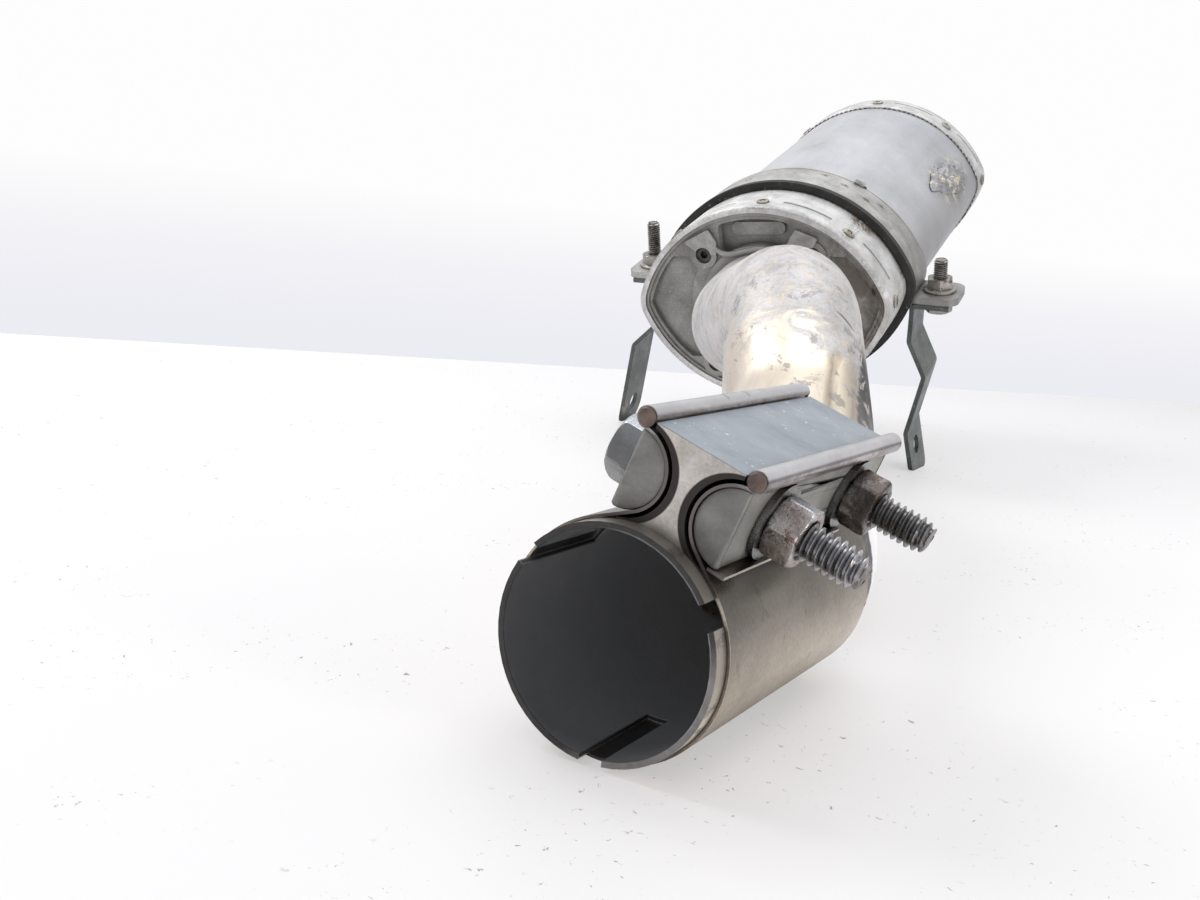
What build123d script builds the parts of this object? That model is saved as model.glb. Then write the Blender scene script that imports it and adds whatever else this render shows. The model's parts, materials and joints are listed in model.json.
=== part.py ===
"""Motorcycle exhaust muffler: oval canister, bent link pipe and two-bolt pipe clamp."""

import os
from math import acos, atan2, cos, degrees, radians, sin

from build123d import *

os.makedirs("parts", exist_ok=True)

# Frame, in mm: origin in the middle of the pipe's mouth, which opens towards -Y, with +Z up.
# Front-facing sketch planes have X to the right and Y up, seen from in front of the mouth.

# Pipe
tube_r = 28.575
tube_wall = 1.5
bend_r = 58.0
pipe_corners = [
    (0, 0, 0),
    (0, 103.3, 0),
    (-40.3, 209.2, 23.1),
    (-76.7, 278.6, 66.1),
]
last_corner = 30.0
slot_width = 6.3
slot_length = 34.0
slot_angles = [27, 143, 270]

# Canister: a section of two big arcs and two small ones, on an axis that rises to the rear
can_front = Plane(
    origin=(-146.9, 409.0, 58.2),
    x_dir=(0.992, 0.0736, 0.1021),
    z_dir=(0.1031, -0.9403, -0.3243),
)
arc_r = 73.6
arc_centre = 20.4
half_height = arc_r - arc_centre
side_r = 16.94
half_width = ((arc_r - side_r) ** 2 - arc_centre**2) ** 0.5 + side_r
can_length = 263.0
flange = 4.0
skin = 1.2
plug_gap = 0.1
plug_wall = 3.6
plug_length = 26.0
cap_plate = 13.0
face_recess = 1.0
rim_width = 3.5

# Cap face
pocket_depth = 3.0
pocket_rim = 5.5
pocket_corner = 5.0
deep_pocket = 8.0
web_r = tube_r + 4.625
boss_r = 7.6
lug_rise = 1.0
upper_screw_x = 30.5
upper_screw_y = half_height - 25.4
lower_screw_x = 29.5
lower_screw_y = 17.7 - half_height
screw_spots = [
    (-upper_screw_x, upper_screw_y),
    (upper_screw_x, upper_screw_y),
    (-lower_screw_x, lower_screw_y),
    (lower_screw_x, lower_screw_y),
]
left_lug = [(-41, 7.6), (-26.3, 14.7), (-22.2, 7.6), (-22.7, 0.2), (-33, 1.2)]
right_lug = [(22.5, 14.4), (34.4, 9.4), (30.5, 2.7), (16, 4.2)]
pocket_web_r = (upper_screw_x**2 + upper_screw_y**2) ** 0.5 - 1.27
counterbore_r = 4.6
counterbore_depth = 6.2
screw_head_r = 4.2
screw_head_height = 5.0
screw_socket = 4.0
screw_r = 2.5
screw_hole_r = 2.8
collar_r = tube_r + 4.425

# Crimp rings and rivets
ring_sheet = 1.2
ring_length = 34.0
rear_ring_length = 20.6
ring_lip = 1.8
rivet_line = 9.5
rivet_r = 1.6
rivet_head_r = 3.0
rivet_angles = [-40, 2, 40]

# Core and outlet
core_r = 25.4
core_wall = 1.2
core_seat = 8.0
core_hole_r = 5.0
core_rows = 3
plate_sheet = 5.0
packing_gap = 0.1
outlet_r = 26.5
outlet_stub = 22.0

# Mounting band, with a rubber liner whose front lip stands in front of the band
band_front = 38.5
band_width = 29.0
liner = 3.0
liner_lip = 4.2
liner_lip_grow = 5.5
liner_tail = 1.5
liner_tail_grow = 4.2
band_sheet = 2.0
ear_drop = -4.0
ear_roll = -4.5
ear_bolt_x = 84.8
ear_end = 97.0
ear_corner = 7.0
ear_bolt_r = 3.7
ear_hole_r = 4.2
ear_nut_flat = 13.0
ear_nut_height = 6.0
flange_r = 9.0
flange_sheet = 1.5
ear_head_height = 5.3
right_bolt_top = 20.0
left_bolt_top = 28.7

# Hanging strips
strip_sheet = 2.5
strip_width = 30.0
strip_bend_r = 5.0
strip_hole_r = 5.5
foot_end = 93.0
foot_bend_r = 1.8
right_inner = 73.2
left_inner = -76.4
right_path = [(72.3, -18.0), (70.3, -34.2), (77.9, -55.1), (66.5, -90.3), (70.6, -136.0)]
left_path = [(-76.4, -9.0), (-76.4, -16.0), (-84.0, -30.0), (-98.2, -41.6), (-117.0, -100.5)]
right_hole_y = -103.5
left_hole_y = -85.4
strap_sheet = 0.8
strap_gap = 0.05
floor_z = -(tube_r + strap_gap + strap_sheet)

# Pipe clamp, on axes turned about the pipe: u to the lower right, v out from the pipe
clamp_front = 5.2
clamp_length = 91.6
clamp_plane = Plane(origin=(0, 0, 0), x_dir=(0.9466, 0, -0.3223), z_dir=(0, -1, 0))
d_u = 14.8
d_v = 38.0
d_r = 10.0
hollow_r = 11.8
block_top = 50.8
block_half = 11.9
loop_r = 2.25
rod_overhang = 0.6
bar_bevel = 0.4
clamp_bolts_y = [26.0, 76.0]
clamp_bolt_r = 4.75
clamp_hole_r = 5.1
clamp_bolt_tip = 40.0
clip_length = 72.0
head_flat = 15.9
head_height = 7.0
washer_r = 9.9
washer_sheet = 1.6
nut_height = 8.2
tip_bevel = 1.2


def oval(depth, grow):
    """The canister's section at this depth behind its front rim, grown all round."""
    with BuildSketch(can_front.offset(-depth), mode=Mode.PRIVATE) as section:
        with Locations((0, -arc_centre)):
            Circle(arc_r + grow)
        with Locations((0, arc_centre)):
            Circle(arc_r + grow, mode=Mode.INTERSECT)
        fillet(section.vertices(), side_r + grow)
    return section.sketch


def rivet_spots(depth):
    """Places on the canister's skin for the rivets, each with its axis pointing out."""
    spots = []
    for half_turn in (0, 180):
        for angle in rivet_angles:
            spots.append(
                can_front.location
                * Rot(Z=half_turn)
                * Pos(0, -arc_centre, -depth)
                * Rot(Z=-angle)
                * Pos(0, arc_r, 0)
                * Rot(X=-90)
            )
        spots.append(
            can_front.location * Rot(Z=half_turn) * Pos(half_width, 0, -depth) * Rot(Y=90)
        )
    return spots


def ear_location(side):
    """Middle of one ear's joint, its Z along the ear bolt, for side 1 (right) or -1 (left)."""
    middle = band_front + band_width / 2
    return (
        can_front.location
        * Pos(0, ear_drop, -middle)
        * Rot(Z=ear_roll)
        * Pos(side * ear_bolt_x, 0, 0)
        * Rot(X=-90)
    )


def ear_plate(side):
    """Outline of one ear, in the plane between the two bands, with rounded outer corners."""
    length = ear_end - half_width
    with BuildSketch(ear_location(side), mode=Mode.PRIVATE) as plate:
        with Locations((side * (ear_end - ear_bolt_x - length / 2), 0)):
            Rectangle(length, band_width)
        across = plate.vertices().sort_by(Axis.X)
        fillet(across[-2:] if side > 0 else across[:2], ear_corner)
    return plate.sketch


def strip_hole(path, y):
    """Axis of the hole through a strip's last run at this height, square to the sheet."""
    (x0, y0), (x1, y1) = path[-2:]
    x = x0 + (x1 - x0) * (y - y0) / (y1 - y0)
    lean = degrees(atan2(x1 - x0, y0 - y1))
    middle = band_front + band_width / 2
    return can_front.location * Pos(x, y, -middle) * Rot(Z=lean) * Rot(Y=90)


def foot_point(x):
    """Point of a strip's foot, under the ears, at this distance along the ears."""
    turn = radians(ear_roll)
    drop = -(band_sheet + strip_sheet / 2)
    return (x * cos(turn) - drop * sin(turn), x * sin(turn) + drop * cos(turn) + ear_drop)


def clamp_bolt_location(y):
    """Axis of one clamp bolt, its Z along +u."""
    return clamp_plane.location * Pos(0, d_v, -y) * Rot(Y=90)


print("pipe")
axis_end = can_front.offset(-(plug_length - core_seat)).origin
with BuildPart() as inlet_pipe:
    with BuildLine() as run:
        FilletPolyline(*pipe_corners, can_front.offset(last_corner).origin, axis_end, radius=bend_r)
    with BuildSketch(Plane.XZ):
        Circle(tube_r)
        Circle(tube_r - tube_wall, mode=Mode.SUBTRACT)
    sweep(path=run.wires()[0])
    with Locations(*[Rot(Y=-a) * Pos(tube_r, slot_length / 2, 0) for a in slot_angles]):
        Box(4 * tube_wall, slot_length, slot_width, mode=Mode.SUBTRACT)
with BuildPart() as pipe_room:
    with BuildSketch(Plane.XZ):
        Circle(tube_r)
    sweep(path=run.wires()[0])
inlet_pipe.part.label = "inlet_pipe"
export_step(inlet_pipe.part, "parts/inlet_pipe.step")

print("front cap")
with BuildPart() as front_cap:
    extrude(oval(flange, 0), amount=flange)
    extrude(oval(flange + plug_length, -skin - plug_gap), amount=plug_length)
    extrude(
        oval(flange + plug_length, -skin - plug_gap - plug_wall),
        amount=flange + plug_length - cap_plate,
        mode=Mode.SUBTRACT,
    )
    extrude(oval(face_recess, -rim_width), amount=face_recess, mode=Mode.SUBTRACT)
    # Side pockets, between the rim, the web round the pipe and the screw bosses
    with BuildSketch(can_front.offset(-face_recess)) as side_pockets:
        with Locations((0, -arc_centre)):
            Circle(arc_r - pocket_rim)
        with Locations((0, arc_centre)):
            Circle(arc_r - pocket_rim, mode=Mode.INTERSECT)
        Circle(pocket_web_r, mode=Mode.SUBTRACT)
        with Locations(*screw_spots):
            Circle(boss_r + 1, mode=Mode.SUBTRACT)
        with Locations((0, half_height - 13.2), (0, 8.2 - half_height)):
            Rectangle(2 * half_width, 26, mode=Mode.SUBTRACT)
        fillet(side_pockets.vertices(), pocket_corner / 2)
    extrude(amount=-pocket_depth, mode=Mode.SUBTRACT)
    # Deep pockets above and below the web, each with a low pad on its floor
    with BuildSketch(can_front.offset(-face_recess)) as deep_pockets:
        with Locations((0, -arc_centre)):
            Circle(arc_r - pocket_rim)
        with Locations((0, arc_centre)):
            Circle(arc_r - pocket_rim, mode=Mode.INTERSECT)
        Rectangle(42, 120, mode=Mode.INTERSECT)
        Circle(web_r, mode=Mode.SUBTRACT)
        fillet(deep_pockets.vertices(), pocket_corner / 2)
    extrude(amount=-(deep_pocket - face_recess), mode=Mode.SUBTRACT)
    with BuildSketch(can_front.offset(-deep_pocket)) as pads:
        with Locations((0, half_height - 12.2), (0, 12.2 - half_height)):
            SlotOverall(30, 7)
    extrude(amount=1.5)
    # Web ring, screw bosses and the lugs that tie them to the rim
    with BuildSketch(can_front.offset(-face_recess)) as webs:
        Circle(web_r)
    extrude(amount=face_recess)
    with BuildSketch(can_front.offset(-face_recess)) as bosses:
        with Locations(*screw_spots):
            Circle(boss_r)
    extrude(amount=face_recess)
    with BuildSketch(can_front.offset(-face_recess)) as lugs:
        for lug in (left_lug, right_lug):
            with BuildLine():
                Polyline(*[(x, y + upper_screw_y) for x, y in lug], close=True)
            make_face()
        fillet(lugs.vertices(), 1.2)
    extrude(amount=face_recess + lug_rise)
    # Collar round the pipe, with a seat for the perforated core
    with BuildSketch(can_front.offset(-flange - plug_length)):
        Circle(collar_r)
    extrude(amount=flange + plug_length - cap_plate)
    with BuildSketch(can_front.offset(-(plug_length - core_seat))):
        Circle(tube_r)
    extrude(amount=plug_length, mode=Mode.SUBTRACT)
    with BuildSketch(can_front.offset(-flange - plug_length)):
        Circle(core_r)
    extrude(amount=2 * core_seat + flange, mode=Mode.SUBTRACT)
    with Locations(*[can_front.location * Pos(x, y, 0) for x, y in screw_spots]):
        CounterBoreHole(screw_hole_r, counterbore_r, counterbore_depth, 40)
        Cylinder(counterbore_r, 3 * lug_rise, mode=Mode.SUBTRACT)
    with Locations(*rivet_spots(rivet_line)):
        Cylinder(rivet_r, 12, mode=Mode.SUBTRACT)
front_cap.part.label = "front_cap"
export_step(front_cap.part, "parts/front_cap.step")

print("cap screws and packing plate")
screw_length = cap_plate + plate_sheet - counterbore_depth
with BuildPart() as cap_screws:
    with Locations(*[can_front.location * Pos(x, y, -counterbore_depth) for x, y in screw_spots]):
        Cylinder(screw_head_r, screw_head_height, align=(Align.CENTER, Align.CENTER, Align.MIN))
        Cylinder(screw_r, screw_length, align=(Align.CENTER, Align.CENTER, Align.MAX))
    with BuildSketch(can_front.offset(screw_head_height - counterbore_depth)):
        with Locations(*screw_spots):
            RegularPolygon(screw_socket / 2, 6, major_radius=False)
    extrude(amount=-screw_head_height / 2, mode=Mode.SUBTRACT)
cap_screws.part.label = "cap_screws"
export_step(cap_screws.part, "parts/cap_screws.step")

with BuildPart() as packing_plate:
    extrude(oval(cap_plate + plate_sheet, -skin - plug_gap - plug_wall - 1.0), amount=plate_sheet)
    with Locations(can_front.offset(-cap_plate)):
        Cylinder(collar_r, 4 * plate_sheet, mode=Mode.SUBTRACT)
    with Locations(*[can_front.location * Pos(x, y, -cap_plate) for x, y in screw_spots]):
        Cylinder(screw_r, 4 * plate_sheet, mode=Mode.SUBTRACT)
packing_plate.part.label = "packing_plate"
export_step(packing_plate.part, "parts/packing_plate.step")

print("canister")
with BuildPart() as sleeve:
    extrude(oval(can_length - flange, 0), amount=can_length - 2 * flange)
    extrude(oval(can_length - flange, -skin), amount=can_length - 2 * flange, mode=Mode.SUBTRACT)
    with Locations(*rivet_spots(rivet_line), *rivet_spots(can_length - rivet_line)):
        Cylinder(rivet_r, 12, mode=Mode.SUBTRACT)
sleeve.part.label = "sleeve"
export_step(sleeve.part, "parts/sleeve.step")

with BuildPart() as front_ring:
    extrude(oval(ring_length, ring_sheet), amount=ring_length + 1)
    extrude(oval(ring_length, 0), amount=ring_length, mode=Mode.SUBTRACT)
    extrude(oval(0, -ring_lip), amount=1, mode=Mode.SUBTRACT)
    with Locations(*rivet_spots(rivet_line)):
        Cylinder(rivet_r, 12, mode=Mode.SUBTRACT)
front_ring.part.label = "front_ring"
export_step(front_ring.part, "parts/front_ring.step")

with BuildPart() as rear_ring:
    extrude(oval(can_length + 1, ring_sheet), amount=rear_ring_length + 1)
    extrude(oval(can_length, 0), amount=rear_ring_length, mode=Mode.SUBTRACT)
    extrude(oval(can_length + 1, -ring_lip), amount=1, mode=Mode.SUBTRACT)
    with Locations(*rivet_spots(can_length - rivet_line)):
        Cylinder(rivet_r, 12, mode=Mode.SUBTRACT)
rear_ring.part.label = "rear_ring"
export_step(rear_ring.part, "parts/rear_ring.step")

rivet_reach = skin + plug_gap + plug_wall
with BuildPart() as front_rivets:
    with Locations(*[spot * Pos(0, 0, ring_sheet) for spot in rivet_spots(rivet_line)]):
        Cylinder(rivet_r, rivet_reach + ring_sheet, align=(Align.CENTER, Align.CENTER, Align.MAX))
        Cone(rivet_head_r, rivet_head_r - 1, 1.1, align=(Align.CENTER, Align.CENTER, Align.MIN))
front_rivets.part.label = "front_rivets"
export_step(front_rivets.part, "parts/front_rivets.step")

with BuildPart() as rear_rivets:
    with Locations(*[spot * Pos(0, 0, ring_sheet) for spot in rivet_spots(can_length - rivet_line)]):
        Cylinder(rivet_r, rivet_reach + ring_sheet, align=(Align.CENTER, Align.CENTER, Align.MAX))
        Cone(rivet_head_r, rivet_head_r - 1, 1.1, align=(Align.CENTER, Align.CENTER, Align.MIN))
rear_rivets.part.label = "rear_rivets"
export_step(rear_rivets.part, "parts/rear_rivets.step")

print("rear cap, core and outlet")
rear_seat = can_length - plug_length + core_seat
with BuildPart() as rear_cap:
    extrude(oval(can_length, 0), amount=flange)
    extrude(oval(can_length - flange, -skin - plug_gap), amount=plug_length)
    extrude(
        oval(can_length - cap_plate, -skin - plug_gap - plug_wall),
        amount=flange + plug_length - cap_plate,
        mode=Mode.SUBTRACT,
    )
    extrude(oval(can_length, -rim_width), amount=face_recess, mode=Mode.SUBTRACT)
    with BuildSketch(can_front.offset(-(can_length - cap_plate))):
        Circle(collar_r)
    extrude(amount=flange + plug_length - cap_plate)
    with BuildSketch(can_front.offset(-can_length)):
        Circle(outlet_r)
    extrude(amount=can_length - rear_seat, mode=Mode.SUBTRACT)
    with BuildSketch(can_front.offset(-rear_seat)):
        Circle(core_r)
    extrude(amount=2 * core_seat + flange, mode=Mode.SUBTRACT)
    with Locations(*rivet_spots(can_length - rivet_line)):
        Cylinder(rivet_r, 12, mode=Mode.SUBTRACT)
rear_cap.part.label = "rear_cap"
export_step(rear_cap.part, "parts/rear_cap.step")

with BuildPart() as outlet_tube:
    with BuildSketch(can_front.offset(-(can_length + outlet_stub))):
        Circle(outlet_r)
        Circle(outlet_r - tube_wall, mode=Mode.SUBTRACT)
    extrude(amount=can_length + outlet_stub - rear_seat)
outlet_tube.part.label = "outlet_tube"
export_step(outlet_tube.part, "parts/outlet_tube.step")

core_start = plug_length - core_seat
with BuildPart() as core:
    with BuildSketch(can_front.offset(-rear_seat)):
        Circle(core_r)
        Circle(core_r - core_wall, mode=Mode.SUBTRACT)
    extrude(amount=rear_seat - core_start)
    row_pitch = (rear_seat - core_start) / (core_rows + 1)
    for row in range(core_rows):
        with Locations(can_front.offset(-(core_start + (row + 1) * row_pitch)).location * Rot(Z=45 * row)):
            Cylinder(core_hole_r, 2 * core_r + 4, rotation=(90, 0, 0), mode=Mode.SUBTRACT)
            Cylinder(core_hole_r, 2 * core_r + 4, rotation=(0, 90, 0), mode=Mode.SUBTRACT)
core.part.label = "core"
export_step(core.part, "parts/core.step")

with BuildPart() as packing:
    extrude(
        oval(can_length - flange - plug_length - packing_gap, -skin - packing_gap),
        amount=can_length - 2 * (flange + plug_length + packing_gap),
    )
    with Locations(can_front.offset(-can_length / 2)):
        Cylinder(core_r + packing_gap, can_length, mode=Mode.SUBTRACT)
packing.part.label = "packing"
export_step(packing.part, "parts/packing.step")

print("mounting band")
band_rear = band_front + band_width
with BuildPart() as rubber_liner:
    extrude(oval(band_rear, liner), amount=band_width)
    extrude(oval(band_front, liner_lip_grow), amount=liner_lip)
    extrude(oval(band_rear + liner_tail, liner_tail_grow), amount=liner_tail)
    extrude(
        oval(band_rear + liner_tail, 0),
        amount=liner_lip + band_width + liner_tail,
        mode=Mode.SUBTRACT,
    )
rubber_liner.part.label = "rubber_liner"
export_step(rubber_liner.part, "parts/rubber_liner.step")

with BuildPart() as upper_band:
    extrude(oval(band_rear, liner + band_sheet), amount=band_width)
    extrude(ear_plate(1), amount=band_sheet)
    extrude(ear_plate(-1), amount=band_sheet)
    extrude(oval(band_rear, liner), amount=band_width, mode=Mode.SUBTRACT)
    with Locations(ear_location(1) * Pos(-ear_bolt_x, 0, 0)):
        Box(400, 200, 200, align=(Align.CENTER, Align.CENTER, Align.MAX), mode=Mode.SUBTRACT)
    with Locations(ear_location(1), ear_location(-1)):
        Cylinder(ear_hole_r, 12, mode=Mode.SUBTRACT)
upper_band.part.label = "upper_band"
export_step(upper_band.part, "parts/upper_band.step")

with BuildPart() as lower_band:
    extrude(oval(band_rear, liner + band_sheet), amount=band_width)
    extrude(ear_plate(1), amount=-band_sheet)
    extrude(ear_plate(-1), amount=-band_sheet)
    extrude(oval(band_rear, liner), amount=band_width, mode=Mode.SUBTRACT)
    with Locations(ear_location(1) * Pos(-ear_bolt_x, 0, 0)):
        Box(400, 200, 200, align=(Align.CENTER, Align.CENTER, Align.MIN), mode=Mode.SUBTRACT)
    with Locations(ear_location(1), ear_location(-1)):
        Cylinder(ear_hole_r, 12, mode=Mode.SUBTRACT)
lower_band.part.label = "lower_band"
export_step(lower_band.part, "parts/lower_band.step")

foot = band_sheet + strip_sheet
ear_places = [ear_location(1), ear_location(-1)]
with BuildPart() as ear_nuts:
    with Locations(*[place * Pos(0, 0, band_sheet) for place in ear_places]):
        Cylinder(flange_r, flange_sheet, align=(Align.CENTER, Align.CENTER, Align.MIN))
    with BuildSketch(*[place * Pos(0, 0, band_sheet + flange_sheet) for place in ear_places]):
        RegularPolygon(ear_nut_flat / 2, 6, major_radius=False)
    extrude(amount=ear_nut_height)
    with Locations(*ear_places):
        Cylinder(ear_bolt_r, 60, mode=Mode.SUBTRACT)
ear_nuts.part.label = "ear_nuts"
export_step(ear_nuts.part, "parts/ear_nuts.step")

with BuildPart() as right_ear_bolt:
    with BuildSketch(ear_places[0] * Pos(0, 0, -foot - ear_head_height)):
        RegularPolygon(ear_nut_flat / 2, 6, major_radius=False, rotation=30)
    extrude(amount=ear_head_height)
    with Locations(ear_places[0] * Pos(0, 0, -foot)):
        Cylinder(ear_bolt_r, foot + right_bolt_top, align=(Align.CENTER, Align.CENTER, Align.MIN))
right_ear_bolt.part.label = "right_ear_bolt"
export_step(right_ear_bolt.part, "parts/right_ear_bolt.step")

with BuildPart() as left_ear_bolt:
    with BuildSketch(ear_places[1] * Pos(0, 0, -foot - ear_head_height)):
        RegularPolygon(ear_nut_flat / 2, 6, major_radius=False, rotation=30)
    extrude(amount=ear_head_height)
    with Locations(ear_places[1] * Pos(0, 0, -foot)):
        Cylinder(ear_bolt_r, foot + left_bolt_top, align=(Align.CENTER, Align.CENTER, Align.MIN))
left_ear_bolt.part.label = "left_ear_bolt"
export_step(left_ear_bolt.part, "parts/left_ear_bolt.step")

print("strips")
strip_front = band_front + (band_width - strip_width) / 2
strip_rear = strip_front + strip_width
strip_middle = (strip_front + strip_rear) / 2
with BuildPart() as right_strip:
    with BuildSketch(can_front.offset(-strip_rear)):
        with BuildLine():
            FilletPolyline(foot_point(foot_end), foot_point(right_inner), right_path[0], radius=foot_bend_r)
        trace(line_width=strip_sheet)
        with BuildLine():
            FilletPolyline(*right_path, radius=strip_bend_r)
        trace(line_width=strip_sheet)
    extrude(amount=strip_width)
    with Locations((0, 0, floor_z)):
        Box(2000, 2000, 200, align=(Align.CENTER, Align.CENTER, Align.MAX), mode=Mode.SUBTRACT)
    with Locations(strip_hole(right_path, right_hole_y)):
        Cylinder(strip_hole_r, 20, mode=Mode.SUBTRACT)
    with Locations(ear_places[0]):
        Cylinder(ear_hole_r, 12, mode=Mode.SUBTRACT)
    tip = (can_front.location * Pos(*right_path[-1], -strip_middle)).position
    ends = right_strip.edges().filter_by(lambda edge: abs(edge.length - strip_sheet) < 0.6)
    fillet(ends.sort_by_distance(tip)[:2], 4)
right_strip.part.label = "right_strip"
export_step(right_strip.part, "parts/right_strip.step")

with BuildPart() as left_strip:
    with BuildSketch(can_front.offset(-strip_rear)):
        with BuildLine():
            FilletPolyline(foot_point(-foot_end), foot_point(left_inner), left_path[0], radius=foot_bend_r)
        trace(line_width=strip_sheet)
        with BuildLine():
            FilletPolyline(*left_path, radius=strip_bend_r)
        trace(line_width=strip_sheet)
    extrude(amount=strip_width)
    tip = (can_front.location * Pos(*left_path[-1], -strip_middle)).position
    ends = left_strip.edges().filter_by(lambda edge: abs(edge.length - strip_sheet) < 0.01)
    fillet(ends.sort_by_distance(tip)[:2], 12)
    with Locations((0, 0, floor_z)):
        Box(2000, 2000, 200, align=(Align.CENTER, Align.CENTER, Align.MAX), mode=Mode.SUBTRACT)
    with Locations(strip_hole(left_path, left_hole_y)):
        Cylinder(strip_hole_r, 20, mode=Mode.SUBTRACT)
    with Locations(ear_places[1]):
        Cylinder(ear_hole_r, 12, mode=Mode.SUBTRACT)
left_strip.part.label = "left_strip"
export_step(left_strip.part, "parts/left_strip.step")

print("pipe clamp")
clamp_rear = clamp_front + clamp_length
clamp_back = clamp_plane.offset(-clamp_rear)
bolt_places = [clamp_bolt_location(y) for y in clamp_bolts_y]
strap_mid = tube_r + strap_gap + strap_sheet / 2
hug = d_r + strap_sheet / 2
with BuildPart() as clamp_strap:
    with BuildSketch(clamp_back):
        for side in (1, -1):
            bar = Vector(side * d_u, d_v)
            aim = degrees(atan2(bar.Y, bar.X))
            spread = degrees(acos((strap_mid + hug) / bar.length))
            leave = aim - side * spread
            touch = leave + 180
            with BuildLine():
                CenterArc(bar, hug, touch, -side * (touch - 90 if side > 0 else 450 - touch))
                CenterArc((bar.X, bar.Y + hug + loop_r), loop_r, -90, side * 255)
                Line(
                    (strap_mid * cos(radians(leave)), strap_mid * sin(radians(leave))),
                    (bar.X + hug * cos(radians(touch)), bar.Y + hug * sin(radians(touch))),
                )
            trace(line_width=strap_sheet)
        with BuildLine():
            CenterArc((0, 0), strap_mid, leave, 360 - 2 * (leave - 90))
        trace(line_width=strap_sheet)
    extrude(amount=clamp_length)
    with Locations(*bolt_places):
        Cylinder(clamp_hole_r, 24, mode=Mode.SUBTRACT)
    add(pipe_room.part, mode=Mode.SUBTRACT)
clamp_strap.part.label = "clamp_strap"
export_step(clamp_strap.part, "parts/clamp_strap.step")

with BuildPart() as clamp_block:
    with BuildSketch(clamp_back):
        with Locations((0, (tube_r + block_top) / 2)):
            Rectangle(2 * block_half, block_top - tube_r + 20)
        Circle(tube_r, mode=Mode.SUBTRACT)
        with Locations((0, block_top + 20)):
            Rectangle(100, 40, mode=Mode.SUBTRACT)
        with Locations((d_u, d_v), (-d_u, d_v)):
            Circle(hollow_r, mode=Mode.SUBTRACT)
    extrude(amount=clamp_length)
    with Locations(*bolt_places):
        Cylinder(clamp_hole_r, 60, mode=Mode.SUBTRACT)
    add(pipe_room.part, mode=Mode.SUBTRACT)
clamp_block.part.label = "clamp_block"
export_step(clamp_block.part, "parts/clamp_block.step")

with BuildPart() as left_d_bar:
    with BuildSketch(clamp_back.offset(0.4)):
        with Locations((-d_u, d_v)):
            Circle(d_r)
            Rectangle(2 * d_r, 4 * d_r, align=(Align.MAX, Align.CENTER), mode=Mode.SUBTRACT)
    extrude(amount=clamp_length - 0.8)
    ends = left_d_bar.faces().filter_by(Axis.Y)
    chamfer(ends.edges(), bar_bevel)
    with Locations(*bolt_places):
        Cylinder(clamp_hole_r, 60, mode=Mode.SUBTRACT)
left_d_bar.part.label = "left_d_bar"
export_step(left_d_bar.part, "parts/left_d_bar.step")

with BuildPart() as right_d_bar:
    with BuildSketch(clamp_back.offset(0.4)):
        with Locations((d_u, d_v)):
            Circle(d_r)
            Rectangle(2 * d_r, 4 * d_r, align=(Align.MIN, Align.CENTER), mode=Mode.SUBTRACT)
    extrude(amount=clamp_length - 0.8)
    ends = right_d_bar.faces().filter_by(Axis.Y)
    chamfer(ends.edges(), bar_bevel)
    with Locations(*bolt_places):
        Cylinder(clamp_hole_r, 60, mode=Mode.SUBTRACT)
right_d_bar.part.label = "right_d_bar"
export_step(right_d_bar.part, "parts/right_d_bar.step")

rod_v = d_v + hug + loop_r
with BuildPart() as left_rod:
    with BuildSketch(clamp_back.offset(-rod_overhang)):
        with Locations((-d_u, rod_v)):
            Circle(loop_r - strap_sheet / 2)
    extrude(amount=clamp_length + 2 * rod_overhang)
    chamfer(left_rod.edges().filter_by(GeomType.CIRCLE), bar_bevel)
left_rod.part.label = "left_rod"
export_step(left_rod.part, "parts/left_rod.step")

with BuildPart() as right_rod:
    with BuildSketch(clamp_back.offset(-rod_overhang)):
        with Locations((d_u, rod_v)):
            Circle(loop_r - strap_sheet / 2)
    extrude(amount=clamp_length + 2 * rod_overhang)
    chamfer(right_rod.edges().filter_by(GeomType.CIRCLE), bar_bevel)
right_rod.part.label = "right_rod"
export_step(right_rod.part, "parts/right_rod.step")

with BuildPart() as clamp_bolts:
    with BuildSketch(*[place * Pos(0, 0, -d_u - head_height) for place in bolt_places]):
        RegularPolygon(head_flat / 2, 6, major_radius=False)
    extrude(amount=head_height)
    with Locations(*[place * Pos(0, 0, -d_u) for place in bolt_places]):
        Cylinder(clamp_bolt_r, d_u + clamp_bolt_tip, align=(Align.CENTER, Align.CENTER, Align.MIN))
    tips = clamp_bolts.edges().filter_by(GeomType.CIRCLE).sort_by(Axis((0, 0, 0), clamp_plane.x_dir))[-2:]
    chamfer(tips, tip_bevel)
clamp_bolts.part.label = "clamp_bolts"
export_step(clamp_bolts.part, "parts/clamp_bolts.step")

with BuildPart() as clamp_washers:
    with BuildSketch(*[place * Pos(0, 0, d_u) for place in bolt_places]):
        Circle(washer_r)
        Circle(clamp_hole_r, mode=Mode.SUBTRACT)
    extrude(amount=washer_sheet)
clamp_washers.part.label = "clamp_washers"
export_step(clamp_washers.part, "parts/clamp_washers.step")

with BuildPart() as clamp_nuts:
    with BuildSketch(*[place * Pos(0, 0, d_u + washer_sheet) for place in bolt_places]):
        RegularPolygon(head_flat / 2, 6, major_radius=False)
        Circle(clamp_bolt_r, mode=Mode.SUBTRACT)
    extrude(amount=nut_height)
clamp_nuts.part.label = "clamp_nuts"
export_step(clamp_nuts.part, "parts/clamp_nuts.step")

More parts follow.
